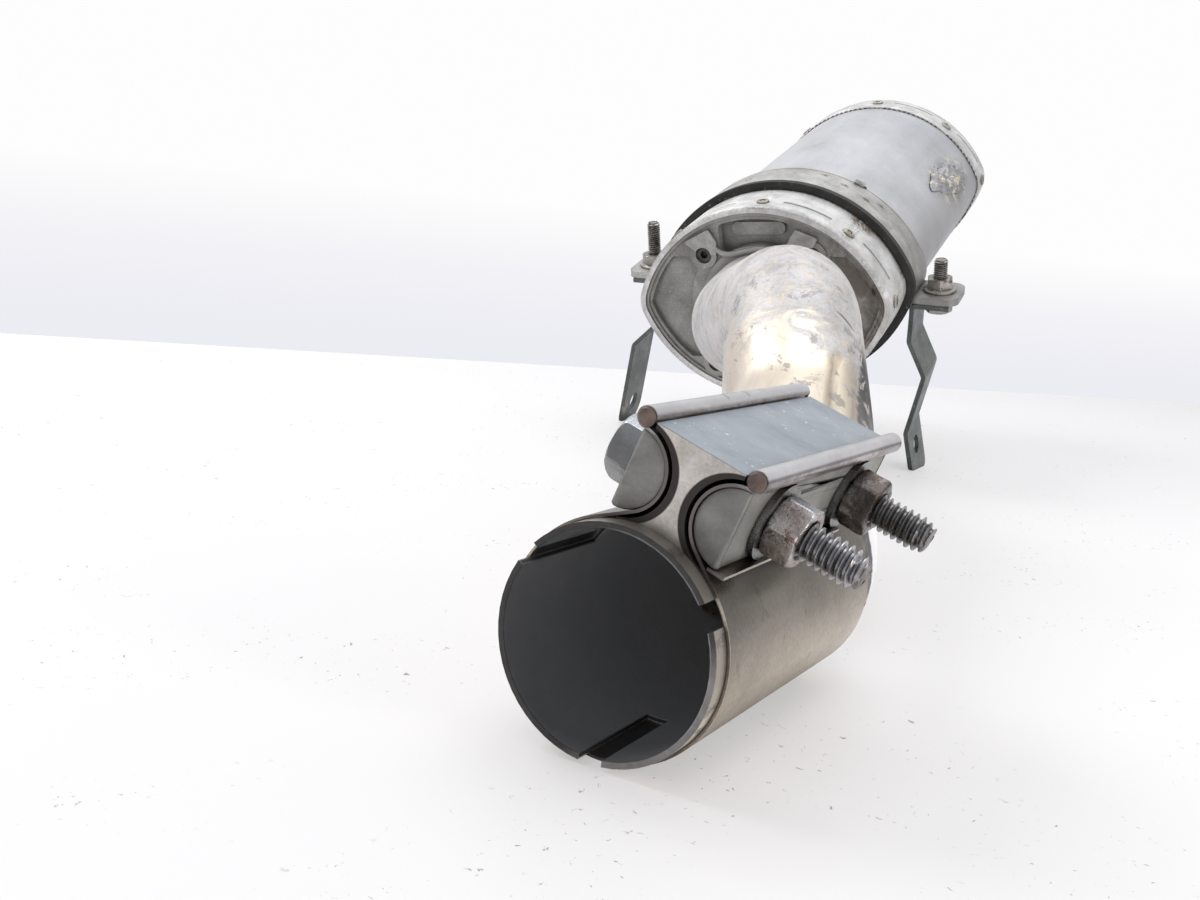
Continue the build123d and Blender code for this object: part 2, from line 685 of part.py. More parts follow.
with BuildPart() as clamp_clip:
    with BuildSketch(clamp_plane.offset(-clamp_front - clip_length)):
        with Locations((d_u + 0.3, d_v - d_r)):
            Rectangle(4.6, strap_sheet, align=(Align.CENTER, Align.MAX))
    extrude(amount=clip_length)
clamp_clip.part.label = "clamp_clip"
export_step(clamp_clip.part, "parts/clamp_clip.step")
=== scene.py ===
import bpy
import bmesh
import json
from math import radians, cos, sin, atan2, tau
from mathutils import Vector, Matrix


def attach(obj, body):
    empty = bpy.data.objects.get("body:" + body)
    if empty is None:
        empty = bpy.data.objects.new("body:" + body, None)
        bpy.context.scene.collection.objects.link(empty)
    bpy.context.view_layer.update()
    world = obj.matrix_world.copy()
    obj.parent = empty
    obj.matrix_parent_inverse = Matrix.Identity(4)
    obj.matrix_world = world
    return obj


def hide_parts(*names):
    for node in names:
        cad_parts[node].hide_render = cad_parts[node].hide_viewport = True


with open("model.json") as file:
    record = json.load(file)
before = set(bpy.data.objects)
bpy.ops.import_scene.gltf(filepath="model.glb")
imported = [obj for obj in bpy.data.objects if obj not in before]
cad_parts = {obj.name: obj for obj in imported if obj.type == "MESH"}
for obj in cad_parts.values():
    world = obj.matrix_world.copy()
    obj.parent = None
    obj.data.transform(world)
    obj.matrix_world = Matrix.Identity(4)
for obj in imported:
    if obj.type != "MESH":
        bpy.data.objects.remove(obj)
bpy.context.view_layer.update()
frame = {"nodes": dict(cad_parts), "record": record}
nodes = frame["nodes"]
mm = 0.001

# local frames: x across, y towards the rear, z up, as seen from in front of the mouth
canOrigin = Vector((-0.1469, 0.4090, 0.0582))
canAcross = Vector((0.992, 0.0736, 0.1021)).normalized()
canRear = Vector((-0.1031, 0.9403, 0.3243)).normalized()
clampAcross = Vector((0.9466, 0.0, -0.3223)).normalized()
clampRear = Vector((0, 1, 0))
clampUp = clampAcross.cross(clampRear)
# straight of the pipe between its first two bends
runOrigin = Vector((0, 0.1033, 0))
runAcross = Vector((0.935, 0.355, 0)).normalized()
runRear = Vector((-0.3487, 0.9163, 0.1999)).normalized()


def axesAt(origin, x, y, z):
    rows = [[x[i], y[i], z[i], origin[i]] for i in range(3)]
    return Matrix(rows + [[0, 0, 0, 1]])


def frameOf(origin, across, rear):
    return axesAt(origin, across, rear, across.cross(rear))


def spin(angle, axis="Z"):
    return Matrix.Rotation(radians(angle), 4, axis)


def shift(x, y, z):
    return Matrix.Translation((x, y, z))


canFrame = frameOf(canOrigin, canAcross, canRear)
clampFrame = frameOf(Vector((0, 0, 0)), clampAcross, clampRear)
runFrame = frameOf(runOrigin, runAcross, runRear)


# shader building blocks

def newMat(name):
    mat = bpy.data.materials.new(name)
    mat.use_nodes = True
    nt = mat.node_tree
    nt.nodes.clear()
    out = nt.nodes.new("ShaderNodeOutputMaterial")
    bsdf = nt.nodes.new("ShaderNodeBsdfPrincipled")
    nt.links.new(bsdf.outputs[0], out.inputs[0])
    coord = nt.nodes.new("ShaderNodeTexCoord")
    return mat, nt, bsdf, coord.outputs["Object"]


def feed(nt, sock, val):
    if isinstance(val, (int, float)):
        sock.default_value = val
    elif isinstance(val, tuple):
        sock.default_value = (*val[:3], 1) if len(sock.default_value) == 4 else val
    else:
        nt.links.new(val, sock)


def placed(nt, vec, loc=(0, 0, 0), rot=(0, 0, 0), scale=(1, 1, 1)):
    m = nt.nodes.new("ShaderNodeMapping")
    m.vector_type = "TEXTURE"
    m.inputs["Location"].default_value = loc
    m.inputs["Rotation"].default_value = rot
    m.inputs["Scale"].default_value = scale
    nt.links.new(vec, m.inputs[0])
    return m.outputs[0]


def inFrame(nt, vec, mtx):
    return placed(nt, vec, mtx.translation, mtx.to_euler())


def noise(nt, vec, scale, detail=4, rough=0.55, distort=0.0, stretch=None):
    if stretch:
        m = nt.nodes.new("ShaderNodeMapping")
        m.inputs["Scale"].default_value = stretch
        nt.links.new(vec, m.inputs[0])
        vec = m.outputs[0]
    n = nt.nodes.new("ShaderNodeTexNoise")
    n.inputs["Scale"].default_value = scale
    n.inputs["Detail"].default_value = detail
    n.inputs["Roughness"].default_value = rough
    n.inputs["Distortion"].default_value = distort
    nt.links.new(vec, n.inputs["Vector"])
    return n.outputs["Fac"]


def ramp(nt, fac, *stops):
    r = nt.nodes.new("ShaderNodeValToRGB")
    els = r.color_ramp.elements
    while len(els) < len(stops):
        els.new(0.5)
    for e, (pos, col) in zip(els, stops):
        e.position = pos
        e.color = (*col, 1) if isinstance(col, tuple) else (col, col, col, 1)
    nt.links.new(fac, r.inputs[0])
    return r.outputs[0]


def mixCol(nt, fac, a, b, mode="MIX"):
    m = nt.nodes.new("ShaderNodeMix")
    m.data_type = "RGBA"
    m.blend_type = mode
    feed(nt, m.inputs[0], fac)
    feed(nt, m.inputs[6], a)
    feed(nt, m.inputs[7], b)
    return m.outputs[2]


def calc(nt, op, a, b=0.0, c=0.0, clamp=False):
    m = nt.nodes.new("ShaderNodeMath")
    m.operation = op
    m.use_clamp = clamp
    for sock, val in zip(m.inputs, (a, b, c)):
        feed(nt, sock, val)
    return m.outputs[0]


def span(nt, val, lo, hi):
    m = nt.nodes.new("ShaderNodeMapRange")
    m.interpolation_type = "SMOOTHSTEP"
    m.inputs["From Min"].default_value = min(lo, hi)
    m.inputs["From Max"].default_value = max(lo, hi)
    m.inputs["To Min"].default_value = 0 if lo < hi else 1
    m.inputs["To Max"].default_value = 1 if lo < hi else 0
    nt.links.new(val, m.inputs["Value"])
    return m.outputs[0]


def axesOf(nt, vec):
    s = nt.nodes.new("ShaderNodeSeparateXYZ")
    nt.links.new(vec, s.inputs[0])
    return tuple(s.outputs)


def axisOf(nt, vec, axis):
    return axesOf(nt, vec)[axis]


def lengthOf(nt, vec):
    m = nt.nodes.new("ShaderNodeVectorMath")
    m.operation = "LENGTH"
    nt.links.new(vec, m.inputs[0])
    return m.outputs["Value"]


def aroundY(nt, vec):
    # distance from the y axis
    flat = nt.nodes.new("ShaderNodeVectorMath")
    flat.operation = "MULTIPLY"
    flat.inputs[1].default_value = (1, 0, 1)
    nt.links.new(vec, flat.inputs[0])
    return lengthOf(nt, flat.outputs[0])


def spot(nt, vec, centre, half, soft, rot=(0, 0, 0)):
    # soft-edged blob of the given half sizes
    return span(nt, lengthOf(nt, placed(nt, vec, centre, rot, half)), 1.0, 1.0 - soft)


def facing(nt, direction, lo, hi):
    g = nt.nodes.new("ShaderNodeNewGeometry")
    d = nt.nodes.new("ShaderNodeVectorMath")
    d.operation = "DOT_PRODUCT"
    d.inputs[1].default_value = Vector(direction).normalized()
    nt.links.new(g.outputs["Normal"], d.inputs[0])
    return span(nt, d.outputs["Value"], lo, hi)


def creviceShade(nt, dist, lo=0.45, hi=0.9):
    # mask of the crevices that ambient occlusion finds, for grime and painted shade
    ao = nt.nodes.new("ShaderNodeAmbientOcclusion")
    ao.samples = 6
    ao.inputs["Distance"].default_value = dist
    return span(nt, ao.outputs["AO"], hi, lo)


def bump(nt, height, strength, dist, normal=None):
    b = nt.nodes.new("ShaderNodeBump")
    b.inputs["Strength"].default_value = strength
    b.inputs["Distance"].default_value = dist
    nt.links.new(height, b.inputs["Height"])
    if normal:
        nt.links.new(normal, b.inputs["Normal"])
    return b.outputs[0]


def times(nt, *facs):
    out = facs[0]
    for f in facs[1:]:
        out = calc(nt, "MULTIPLY", out, f)
    return out


def dye(nt, base, mask, share, col):
    # lays a colour over the base where the mask shows, at most by the given share
    return mixCol(nt, calc(nt, "MULTIPLY", mask, share), base, col)


def sway(nt, val, fac, reach):
    # moves a value to and fro by a noise that is centred on 0.5
    return calc(nt, "ADD", val, calc(nt, "MULTIPLY", calc(nt, "SUBTRACT", fac, 0.5), reach))


def dullMetal(nt, bsdf, metal, mask, share):
    # less of the metallic look where the mask shows
    less = calc(nt, "SUBTRACT", metal, calc(nt, "MULTIPLY", mask, share), clamp=True)
    feed(nt, bsdf.inputs["Metallic"], less)


def wornBase(nt, vec, cfg):
    # blotches, fine grain, rust spots and pale specks shared by every metal here
    blotch = noise(nt, vec, cfg["blotch"], 5, 0.6, 0.4)
    base = ramp(nt, blotch, (0.32, cfg["dark"]), (0.68, cfg["light"]))
    fine = noise(nt, vec, cfg["grain"], 3, 0.7)
    base = mixCol(nt, cfg.get("grainMix", 0.3), base, ramp(nt, fine, (0.3, 0.0), (0.7, 1.0)), "SOFT_LIGHT")
    if "rust" in cfg:
        n = noise(nt, vec, cfg.get("rustScale", 90), 6, 0.7, 0.6)
        rusty = span(nt, n, cfg["rust"], cfg["rust"] + 0.06)
        base = mixCol(nt, rusty, base, cfg.get("rustCol", (0.10, 0.05, 0.025)))
    if "speck" in cfg:
        n = noise(nt, vec, cfg.get("speckScale", 420), 2, 0.5)
        base = mixCol(nt, span(nt, n, cfg["speck"], cfg["speck"] + 0.03), base, cfg["speckCol"])
    return base, fine


def finishMetal(nt, bsdf, vec, cfg, base, fine):
    if cfg.get("grimeAndShade"):
        # grime and painted shade: the colour darkens in crevices and between parts
        grimeAndShadeMix = calc(nt, "MULTIPLY", creviceShade(nt, cfg.get("grimeAndShadeReach", 0.006)), cfg["grimeAndShade"])
        base = mixCol(nt, grimeAndShadeMix, base, cfg.get("grimeAndShadeCol", (0.035, 0.03, 0.026)))
    feed(nt, bsdf.inputs["Base Color"], base)
    lo, hi = cfg["roughness"]
    rough = ramp(nt, noise(nt, vec, cfg["blotch"] * 2.3, 5, 0.6), (0.3, lo), (0.7, hi))
    feed(nt, bsdf.inputs["Roughness"], rough)
    bsdf.inputs["Metallic"].default_value = cfg["metal"]
    scratch = noise(nt, vec, cfg.get("scratchScale", 160), 3, 0.6, 0.0, cfg.get("stretch", (1, 0.08, 1)))
    n = bump(nt, fine, cfg.get("bump", 0.15), 0.0004)
    n = bump(nt, scratch, cfg.get("scratch", 0.12), 0.0003, n)
    feed(nt, bsdf.inputs["Normal"], n)
    return n


def wornMetal(name, cfg, layers=None, place=None):
    # worn finish; a piece's own layers lie in the given frame, or else in the row's
    mat, nt, bsdf, vec = newMat(name)
    base, fine = wornBase(nt, vec, cfg)
    if layers:
        base = layers(nt, inFrame(nt, vec, place) if place else vec, base, cfg)
    finishMetal(nt, bsdf, vec, cfg, base, fine)
    return mat


# link pipe: golden heat tint on its upper run, greyish white at the elbow, soot down its right side
pipeLook = dict(
    dark=(0.36, 0.345, 0.34), light=(0.60, 0.58, 0.565), blotch=60, grain=900,
    roughness=(0.34, 0.5), metal=0.72, bump=0.18, scratch=0.2, stretch=(1, 0.05, 1),
    gold=((0.27, 0.20, 0.13), (0.70, 0.59, 0.44), (0.98, 0.90, 0.76)), goldEnd=222 * mm,
    purple=(0.21, 0.185, 0.20), fleck=(0.66, 0.56, 0.43), soot=(0.008, 0.0075, 0.007),
    # place and half size of each brownish patch
    patches=(((-0.0679, 0.214, 0.0529), (0.006, 0.014, 0.006)),
             ((-0.0289, 0.1853, 0.0467), (0.004, 0.011, 0.005)),
             ((-0.050, 0.150, 0.040), (0.004, 0.012, 0.006))),
    # heat tint across the pipe; its brightest stop in the middle is a painted highlight
    across=((0.0, (0.62, 0.55, 0.50)), (0.30, (0.86, 0.77, 0.65)), (0.50, (0.98, 0.90, 0.75)),
            (0.60, (0.94, 0.84, 0.68)), (0.65, (0.26, 0.19, 0.13)), (0.72, (0.98, 0.88, 0.67)),
            (0.80, (0.22, 0.16, 0.11)), (0.92, (0.50, 0.42, 0.32))),
    # radii where the bore's and the slots' soot starts, just outside and inside the tube's skins
    wide=57.14 * mm, innerR=27.2 * mm, outerR=28.4 * mm, slotEnd=40 * mm,
    boreNear=(0.115, 0.117, 0.118), boreMid=(0.40, 0.405, 0.41), boreDeep=(0.90, 0.90, 0.90),
)


def pipeSteel(name, cfg):
    mat, nt, bsdf, vec = newMat(name)
    base, fine = wornBase(nt, vec, cfg)
    x, y, z = axesOf(nt, vec)
    ragged = noise(nt, vec, 60, 6, 0.7, 0.8)
    # the tint reaches further back on the left flank
    edge = calc(nt, "MULTIPLY_ADD", calc(nt, "ADD", x, 0.065), 0.25, y)
    edge = sway(nt, edge, ragged, 0.12)
    gold = span(nt, edge, cfg["goldEnd"] + 0.016, cfg["goldEnd"] - 0.010)
    run = inFrame(nt, vec, runFrame)
    streak = noise(nt, run, 95, 5, 0.62, 0.5, (1, 0.13, 1))
    golden = ramp(nt, streak, (0.30, cfg["gold"][0]), (0.50, cfg["gold"][1]), (0.68, cfg["gold"][2]))
    # across the pipe the heat tint goes from a pale pinkish left flank to brown on the right, with a painted
    # highlight down its middle
    aside = sway(nt, axisOf(nt, run, 0), streak, 0.012)
    tintAndHighlightCol = ramp(nt, calc(nt, "MULTIPLY_ADD", aside, 1 / cfg["wide"], 0.5), *cfg["across"])
    golden = mixCol(nt, 0.7, golden, tintAndHighlightCol)
    base = dye(nt, base, gold, 0.92, golden)
    bloom = span(nt, noise(nt, run, 100, 6, 0.74, 0.25, (1, 0.5, 1)), 0.56, 0.61)
    base = mixCol(nt, times(nt, bloom, span(nt, y, 0.33, 0.24)), base, mixCol(nt, 0.35, cfg["purple"], base))
    broken = span(nt, noise(nt, vec, 260, 5, 0.7), 0.42, 0.54)
    for place, half in cfg["patches"]:
        patch = times(nt, spot(nt, vec, place, half, 0.6), broken)
        base = dye(nt, base, patch, 0.35, (0.26, 0.22, 0.19))
    # pale deposit over the elbow, with sparse ochre flecks
    chalk = times(nt, span(nt, noise(nt, vec, 130, 6, 0.74, 0.8), 0.44, 0.58), span(nt, y, 0.225, 0.26))
    base = dye(nt, base, chalk, 0.5, (0.66, 0.645, 0.63))
    fleck = span(nt, noise(nt, vec, 260, 6, 0.78, 0.5), 0.53, 0.60)
    gathered = span(nt, noise(nt, vec, 48, 3, 0.6, 0.6), 0.42, 0.54)
    nearElbow = times(nt, span(nt, y, 0.205, 0.235), span(nt, y, 0.32, 0.285))
    base = mixCol(nt, times(nt, fleck, gathered, nearElbow), base, cfg["fleck"])
    # soot along the right flank, with ragged flakes
    flakes = span(nt, noise(nt, run, 170, 6, 0.76, 1.0, (1, 0.35, 1)), 0.40, 0.44)
    edgeOn = sway(nt, axisOf(nt, run, 0), ragged, 0.010)
    start = calc(nt, "MULTIPLY_ADD", ragged, 0.06, y)
    flank = times(nt, span(nt, edgeOn, 0.0195, 0.0212), span(nt, axisOf(nt, run, 2), -0.012, -0.006),
                  span(nt, start, 0.105, 0.135), span(nt, y, 0.256, 0.235))
    sooted = times(nt, flank, flakes)
    base = mixCol(nt, sooted, base, cfg["soot"])
    mark = spot(nt, vec, (-0.0393, 0.2434, 0.0655), (0.0070, 0.0012, 0.004), 0.5,
                (0, radians(44), radians(14)))
    base = dye(nt, base, mark, 0.8, (0.10, 0.07, 0.05))
    # painted shade on the upper part of the lip that stands out of the strap, below the bars
    lip = times(nt, span(nt, y, 0.0060, 0.0054), span(nt, z, -0.015, 0.004))
    base = dye(nt, base, lip, 0.7, (0.14, 0.13, 0.12))
    # sooty inside the tube, most of all near its mouth, and darker still in the slots
    r = aroundY(nt, vec)
    inner, outer = cfg["innerR"], cfg["outerR"]
    inBore = times(nt, span(nt, r, inner + 0.2 * mm, inner), span(nt, y, 0.16, 0.13))
    inSlot = times(nt, span(nt, r, outer, outer - 0.2 * mm), span(nt, y, 0.2 * mm, 0.6 * mm),
                   span(nt, y, cfg["slotEnd"] + 5 * mm, cfg["slotEnd"]))
    bore = calc(nt, "MAXIMUM", inBore, inSlot)
    depth = calc(nt, "MULTIPLY", y, 8.0, clamp=True)
    sooty = ramp(nt, depth, (0.0, cfg["boreNear"]), (0.45, cfg["boreMid"]), (1.0, cfg["boreDeep"]))
    slotWall = times(nt, inSlot, span(nt, r, inner + 0.1 * mm, inner + 0.3 * mm))
    sooty = mixCol(nt, slotWall, sooty, (0.045, 0.045, 0.045))
    clouded = ramp(nt, noise(nt, vec, 30, 5, 0.6, 0.5), (0.35, 0.3), (0.7, 0.7))
    sooty = mixCol(nt, 0.12, sooty, clouded, "SOFT_LIGHT")
    base = mixCol(nt, bore, base, sooty)
    # the cut end is dark metal, with painted light at its lower right and a painted highlight along its right
    # inner edge
    endFace = span(nt, y, 0.4 * mm, 0.1 * mm)
    low = times(nt, span(nt, calc(nt, "SUBTRACT", x, z), 0.018, 0.030),
                span(nt, r, inner - 0.4 * mm, inner - 0.1 * mm))
    endColWithPaintedLight = mixCol(nt, low, (0.040, 0.037, 0.035), (0.24, 0.225, 0.21))
    # painted highlight along the right inner edge of the cut end
    rightwards = calc(nt, "MULTIPLY_ADD", z, 0.5, x)
    paintedEdgeHighlight = times(nt, span(nt, r, inner + 0.25 * mm, inner), span(nt, rightwards, 0.008, 0.02))
    endColWithPaintedLight = dye(nt, endColWithPaintedLight, paintedEdgeHighlight, 0.6, (0.36, 0.35, 0.34))
    sawn = ramp(nt, noise(nt, vec, 180, 5, 0.7), (0.35, 0.25), (0.65, 0.75))
    endColWithPaintedLight = mixCol(nt, 0.5, endColWithPaintedLight, sawn, "SOFT_LIGHT")
    base = mixCol(nt, endFace, base, endColWithPaintedLight)
    n = finishMetal(nt, bsdf, vec, cfg, base, fine)
    # shallow wrinkles across the elbow's inner side
    ripple = noise(nt, vec, 420, 2, 0.4, 0.0, (1, 0.15, 0.15))
    wavy = times(nt, ripple, span(nt, y, 0.27, 0.31), span(nt, x, -0.10, -0.13))
    nt.links.new(bump(nt, wavy, 0.5, 0.0012, n), bsdf.inputs["Normal"])
    elbow = span(nt, edge, cfg["goldEnd"] - 0.012, cfg["goldEnd"] + 0.014)
    matt = calc(nt, "MULTIPLY_ADD", elbow, 0.16, 0.38)
    nt.links.new(calc(nt, "MAXIMUM", matt, calc(nt, "MULTIPLY", bore, 0.8)), bsdf.inputs["Roughness"])
    dull = calc(nt, "MAXIMUM", calc(nt, "MULTIPLY", elbow, 0.4), calc(nt, "MULTIPLY", endFace, 0.7))
    dull = calc(nt, "MAXIMUM", dull, calc(nt, "MAXIMUM", bore, sooted))
    dullMetal(nt, bsdf, cfg["metal"], dull, cfg["metal"])
    return mat


# clamp strap: thin polished sheet, with painted shade near the bars, and rolled ends with a painted highlight
# on top
strapLook = dict(
    dark=(0.44, 0.385, 0.31), light=(0.72, 0.635, 0.51), blotch=24, grain=900,
    roughness=(0.26, 0.40), metal=0.88,
    bump=0.06, scratch=0.12, grimeAndShade=0.9, grimeAndShadeReach=0.012, grimeAndShadeCol=(0.06, 0.05, 0.045), stretch=(1, 0.05, 1),
    loopU=14.8 * mm, loopV=50.65 * mm, innerR=28.7 * mm, outerR=30.2 * mm, pits=(43.6 * mm, 56.1 * mm),
)


def strapSteel(name, cfg):
    mat, nt, bsdf, vec = newMat(name)
    base, fine = wornBase(nt, vec, cfg)
    local = inFrame(nt, vec, clampFrame)
    x, y, z = axesOf(nt, local)
    r2 = calc(nt, "ADD", calc(nt, "MULTIPLY", x, x), calc(nt, "MULTIPLY", z, z))
    lines = span(nt, noise(nt, local, 130, 4, 0.7, 0.2, (0.05, 1, 0.6)), 0.62, 0.68)
    base = dye(nt, base, lines, 0.35, (0.16, 0.13, 0.11))
    # painted shade: darker near the bars and along the underside
    outer = cfg["outerR"]
    wrapped = times(nt, span(nt, r2, (outer + 0.8 * mm) ** 2, outer ** 2), span(nt, y, 0.0053, 0.0056))
    band = ramp(nt, calc(nt, "MULTIPLY_ADD", z, 12.0, 0.5, clamp=True),
                (0.16, 0.38), (0.30, 0.74), (0.52, 1.0), (0.66, 0.30), (0.76, 0.10))
    base = mixCol(nt, calc(nt, "MULTIPLY", wrapped, 0.85), base, band, "MULTIPLY")
    cutEdge = times(nt, span(nt, y, 0.0054, 0.0053), span(nt, z, 0.020, 0.026))
    base = mixCol(nt, cutEdge, base, (0.17, 0.155, 0.14))
    # its inner face is pale at the top
    inner = cfg["innerR"]
    base = mixCol(nt, span(nt, r2, (inner + 0.2 * mm) ** 2, inner ** 2), base, (0.62, 0.62, 0.62))
    # the rolled loops: a painted highlight on top, brown flecks on their undersides
    loops = span(nt, z, 0.0475, 0.0485)
    loopCol = ramp(nt, noise(nt, local, 150, 6, 0.7, 0.6, (1, 0.4, 1)),
                   (0.35, (0.24, 0.22, 0.215)), (0.65, (0.50, 0.48, 0.48)))
    base = mixCol(nt, loops, base, loopCol)
    under = times(nt, loops, facing(nt, (0.55, -0.2, -0.8), 0.1, 0.6),
                  span(nt, noise(nt, local, 320, 4, 0.7), 0.50, 0.58))
    base = dye(nt, base, under, 0.6, (0.22, 0.15, 0.10))
    for yPit in cfg["pits"]:
        pit = spot(nt, local, (-cfg["loopU"], yPit, 0.0529), (0.0016, 0.0012, 0.0016), 0.3)
        base = mixCol(nt, pit, base, (0.012, 0.009, 0.009))
    # a painted dark reflection stripe down the outer side of the right loop, under a painted highlight along
    # the crown
    turn = axesOf(nt, placed(nt, local, (cfg["loopU"], 0, cfg["loopV"])))
    slope = calc(nt, "SUBTRACT", turn[2], calc(nt, "MULTIPLY", turn[0], 0.62))
    right = span(nt, x, 0.010, 0.012)
    paintedDarkStripe = times(nt, span(nt, slope, -0.0009, -0.0004), span(nt, slope, 0.0005, 0.0001), loops, right)
    base = dye(nt, base, paintedDarkStripe, 0.6, (0.07, 0.07, 0.075))
    # painted highlight along the crown of the loops
    crown = times(nt, loops, span(nt, z, 0.0518, 0.0526))
    base = dye(nt, base, crown, 0.55, (0.66, 0.66, 0.68))
    # sooty where it lies against the pipe
    seat = times(nt, span(nt, r2, (inner + 0.25 * mm) ** 2, (inner + 0.05 * mm) ** 2),
                 span(nt, z, 0.026, 0.020))
    base = mixCol(nt, seat, base, (0.030, 0.031, 0.032))
    finishMetal(nt, bsdf, vec, cfg, base, fine)
    dullMetal(nt, bsdf, cfg["metal"], seat, 0.8)
    return mat


# block: slate-blue top with pale specks and scratches, warm grey front and sides
blockLook = dict(
    dark=(0.50, 0.455, 0.40), light=(0.78, 0.74, 0.68), blotch=70, grain=1200,
    roughness=(0.34, 0.5), metal=0.55,
    bump=0.15, scratch=0.1, grimeAndShade=0.7, grimeAndShadeReach=0.005, top=((0.215, 0.248, 0.276), (0.335, 0.368, 0.395)),
    topLow=50.55 * mm, hollow=(14.0 * mm, 38.0 * mm), hollowHalf=(12.85 * mm, 1, 12.65 * mm),
)


def blockSteel(name, cfg):
    mat, nt, bsdf, vec = newMat(name)
    base, fine = wornBase(nt, vec, cfg)
    local = inFrame(nt, vec, clampFrame)
    top = span(nt, axisOf(nt, local, 2), cfg["topLow"], cfg["topLow"] + 0.15 * mm)
    slate = ramp(nt, noise(nt, local, 55, 5, 0.6, 0.4), (0.3, cfg["top"][0]), (0.7, cfg["top"][1]))
    chips = span(nt, noise(nt, local, 620, 3, 0.6, 0.4, (1, 0.7, 1)), 0.655, 0.68)
    cluster = span(nt, noise(nt, local, 60, 2, 0.5), 0.42, 0.58)
    slate = mixCol(nt, times(nt, chips, cluster), slate, (0.62, 0.64, 0.66))
    slanted = placed(nt, local, rot=(0, 0, radians(35)))
    lines = span(nt, noise(nt, slanted, 500, 2, 0.5, 0.0, (0.05, 1, 1)), 0.70, 0.73)
    slate = dye(nt, slate, lines, 0.5, (0.40, 0.42, 0.44))
    base = mixCol(nt, top, base, slate)
    # dark brown shade in both hollows
    aside, up = cfg["hollow"]
    for side in (-1, 1):
        far = aroundY(nt, placed(nt, local, (side * aside, 0, up), scale=cfg["hollowHalf"]))
        shade = times(nt, span(nt, far, 1.015, 0.985), calc(nt, "SUBTRACT", 1.0, top))
        base = mixCol(nt, shade, base, (0.045, 0.036, 0.032))
    finishMetal(nt, bsdf, vec, cfg, base, fine)
    dullMetal(nt, bsdf, cfg["metal"], top, 0.35)
    return mat


# canister sleeve: matt bluish grey, brushed along, with a scuffed and chipped patch
sleeveLook = dict(
    dark=(0.43, 0.432, 0.445), light=(0.585, 0.585, 0.60), blotch=14, grain=1500,
    roughness=(0.40, 0.56), metal=0.45,
    bump=0.05, scratch=0.05, grimeAndShade=0.35, grimeAndShadeReach=0.005, patch=(0.0622, 0.190, 0.0180),
    patchHalf=(0.0145, 0.048, 0.022), chip=(0.72, 0.66, 0.50),
)


def sleeveMetal(name, cfg):
    mat, nt, bsdf, vec = newMat(name)
    base, fine = wornBase(nt, vec, cfg)
    local = inFrame(nt, vec, canFrame)
    streak = noise(nt, local, 40, 4, 0.6, 0.2, (1, 0.12, 1))
    base = mixCol(nt, 0.35, base, ramp(nt, streak, (0.3, 0.25), (0.7, 0.75)), "SOFT_LIGHT")
    x, z = axesOf(nt, local)[::2]
    pale = times(nt, span(nt, noise(nt, local, 210, 3, 0.6, 0.5, (1, 0.35, 1)), 0.66, 0.72),
                 span(nt, z, 0.02, 0.04))
    base = dye(nt, base, pale, 0.4, (0.68, 0.69, 0.70))
    stain = times(nt, spot(nt, local, (-0.010, 0.150, 0.052), (0.016, 0.030, 0.012), 0.8),
                  noise(nt, local, 90, 4, 0.6))
    base = dye(nt, base, stain, 0.5, (0.25, 0.24, 0.22))
    # painted shade down the canister's right side
    paintedShadeRight = times(nt, span(nt, x, 0.048, 0.072), span(nt, z, 0.034, 0.004))
    base = dye(nt, base, paintedShadeRight, 0.55, (0.20, 0.195, 0.185))
    # the scuffed patch: worn brown, with pale chips and dark marks
    area = spot(nt, local, cfg["patch"], cfg["patchHalf"], 0.5, (0, 0, radians(-6)))
    worn = times(nt, area, span(nt, noise(nt, local, 75, 4, 0.6, 0.2), 0.40, 0.52))
    base = dye(nt, base, worn, 0.6, (0.26, 0.255, 0.235))
    chips = times(nt, area, span(nt, noise(nt, local, 130, 4, 0.62, 0.25), 0.55, 0.60))
    base = mixCol(nt, chips, base, cfg["chip"])
    dark = times(nt, area, span(nt, noise(nt, local, 170, 3, 0.6, 0.2, (1, 0.6, 1)), 0.62, 0.66))
    base = mixCol(nt, dark, base, (0.10, 0.09, 0.08))
    n = finishMetal(nt, bsdf, vec, cfg, base, fine)
    heap = times(nt, area, noise(nt, local, 110, 5, 0.7, 0.8))
    nt.links.new(bump(nt, heap, 0.9, 0.0025, n), bsdf.inputs["Normal"])
    return mat


# rings: weathered sheet, dull beige grey with brown flecks
ringLook = dict(
    dark=(0.44, 0.432, 0.415), light=(0.76, 0.75, 0.73), blotch=75, grain=1100,
    roughness=(0.46, 0.62), metal=0.4, rust=0.68, rustScale=150, rustCol=(0.13, 0.09, 0.06), bump=0.2,
    grimeAndShade=0.75, grimeAndShadeReach=0.0022, grimeAndShadeCol=(0.05, 0.042, 0.035),
)


def ringLayers(nt, local, base, cfg):
    # brown wear patch behind the front rivet
    wear = spot(nt, local, (0.0505, 0.030, 0.0365), (0.013, 0.009, 0.014), 0.7)
    flecks = span(nt, noise(nt, local, 420, 5, 0.75, 1.0), 0.45, 0.50)
    base = mixCol(nt, times(nt, wear, flecks), base, (0.20, 0.14, 0.10))
    chalk = times(nt, wear, span(nt, noise(nt, local, 380, 4, 0.7, 0.5), 0.57, 0.62))
    base = mixCol(nt, chalk, base, (0.72, 0.68, 0.62))
    pale = times(nt, span(nt, noise(nt, local, 120, 5, 0.7, 0.6, (1, 0.5, 1)), 0.50, 0.64),
                 span(nt, axisOf(nt, local, 1), 0.024, 0.004))
    return dye(nt, base, pale, 0.3, (0.72, 0.71, 0.68))


# cast caps: dirty dark grey with a granular skin; painted light on the lug tops and the rim
capLook = dict(
    dark=(0.225, 0.222, 0.205), light=(0.375, 0.37, 0.345), blotch=60, grain=1500,
    roughness=(0.48, 0.7), metal=0.35,
    speck=0.70, speckScale=900, speckCol=(0.55, 0.53, 0.49), bump=0.45, grimeAndShade=0.45, grimeAndShadeReach=0.005,
)


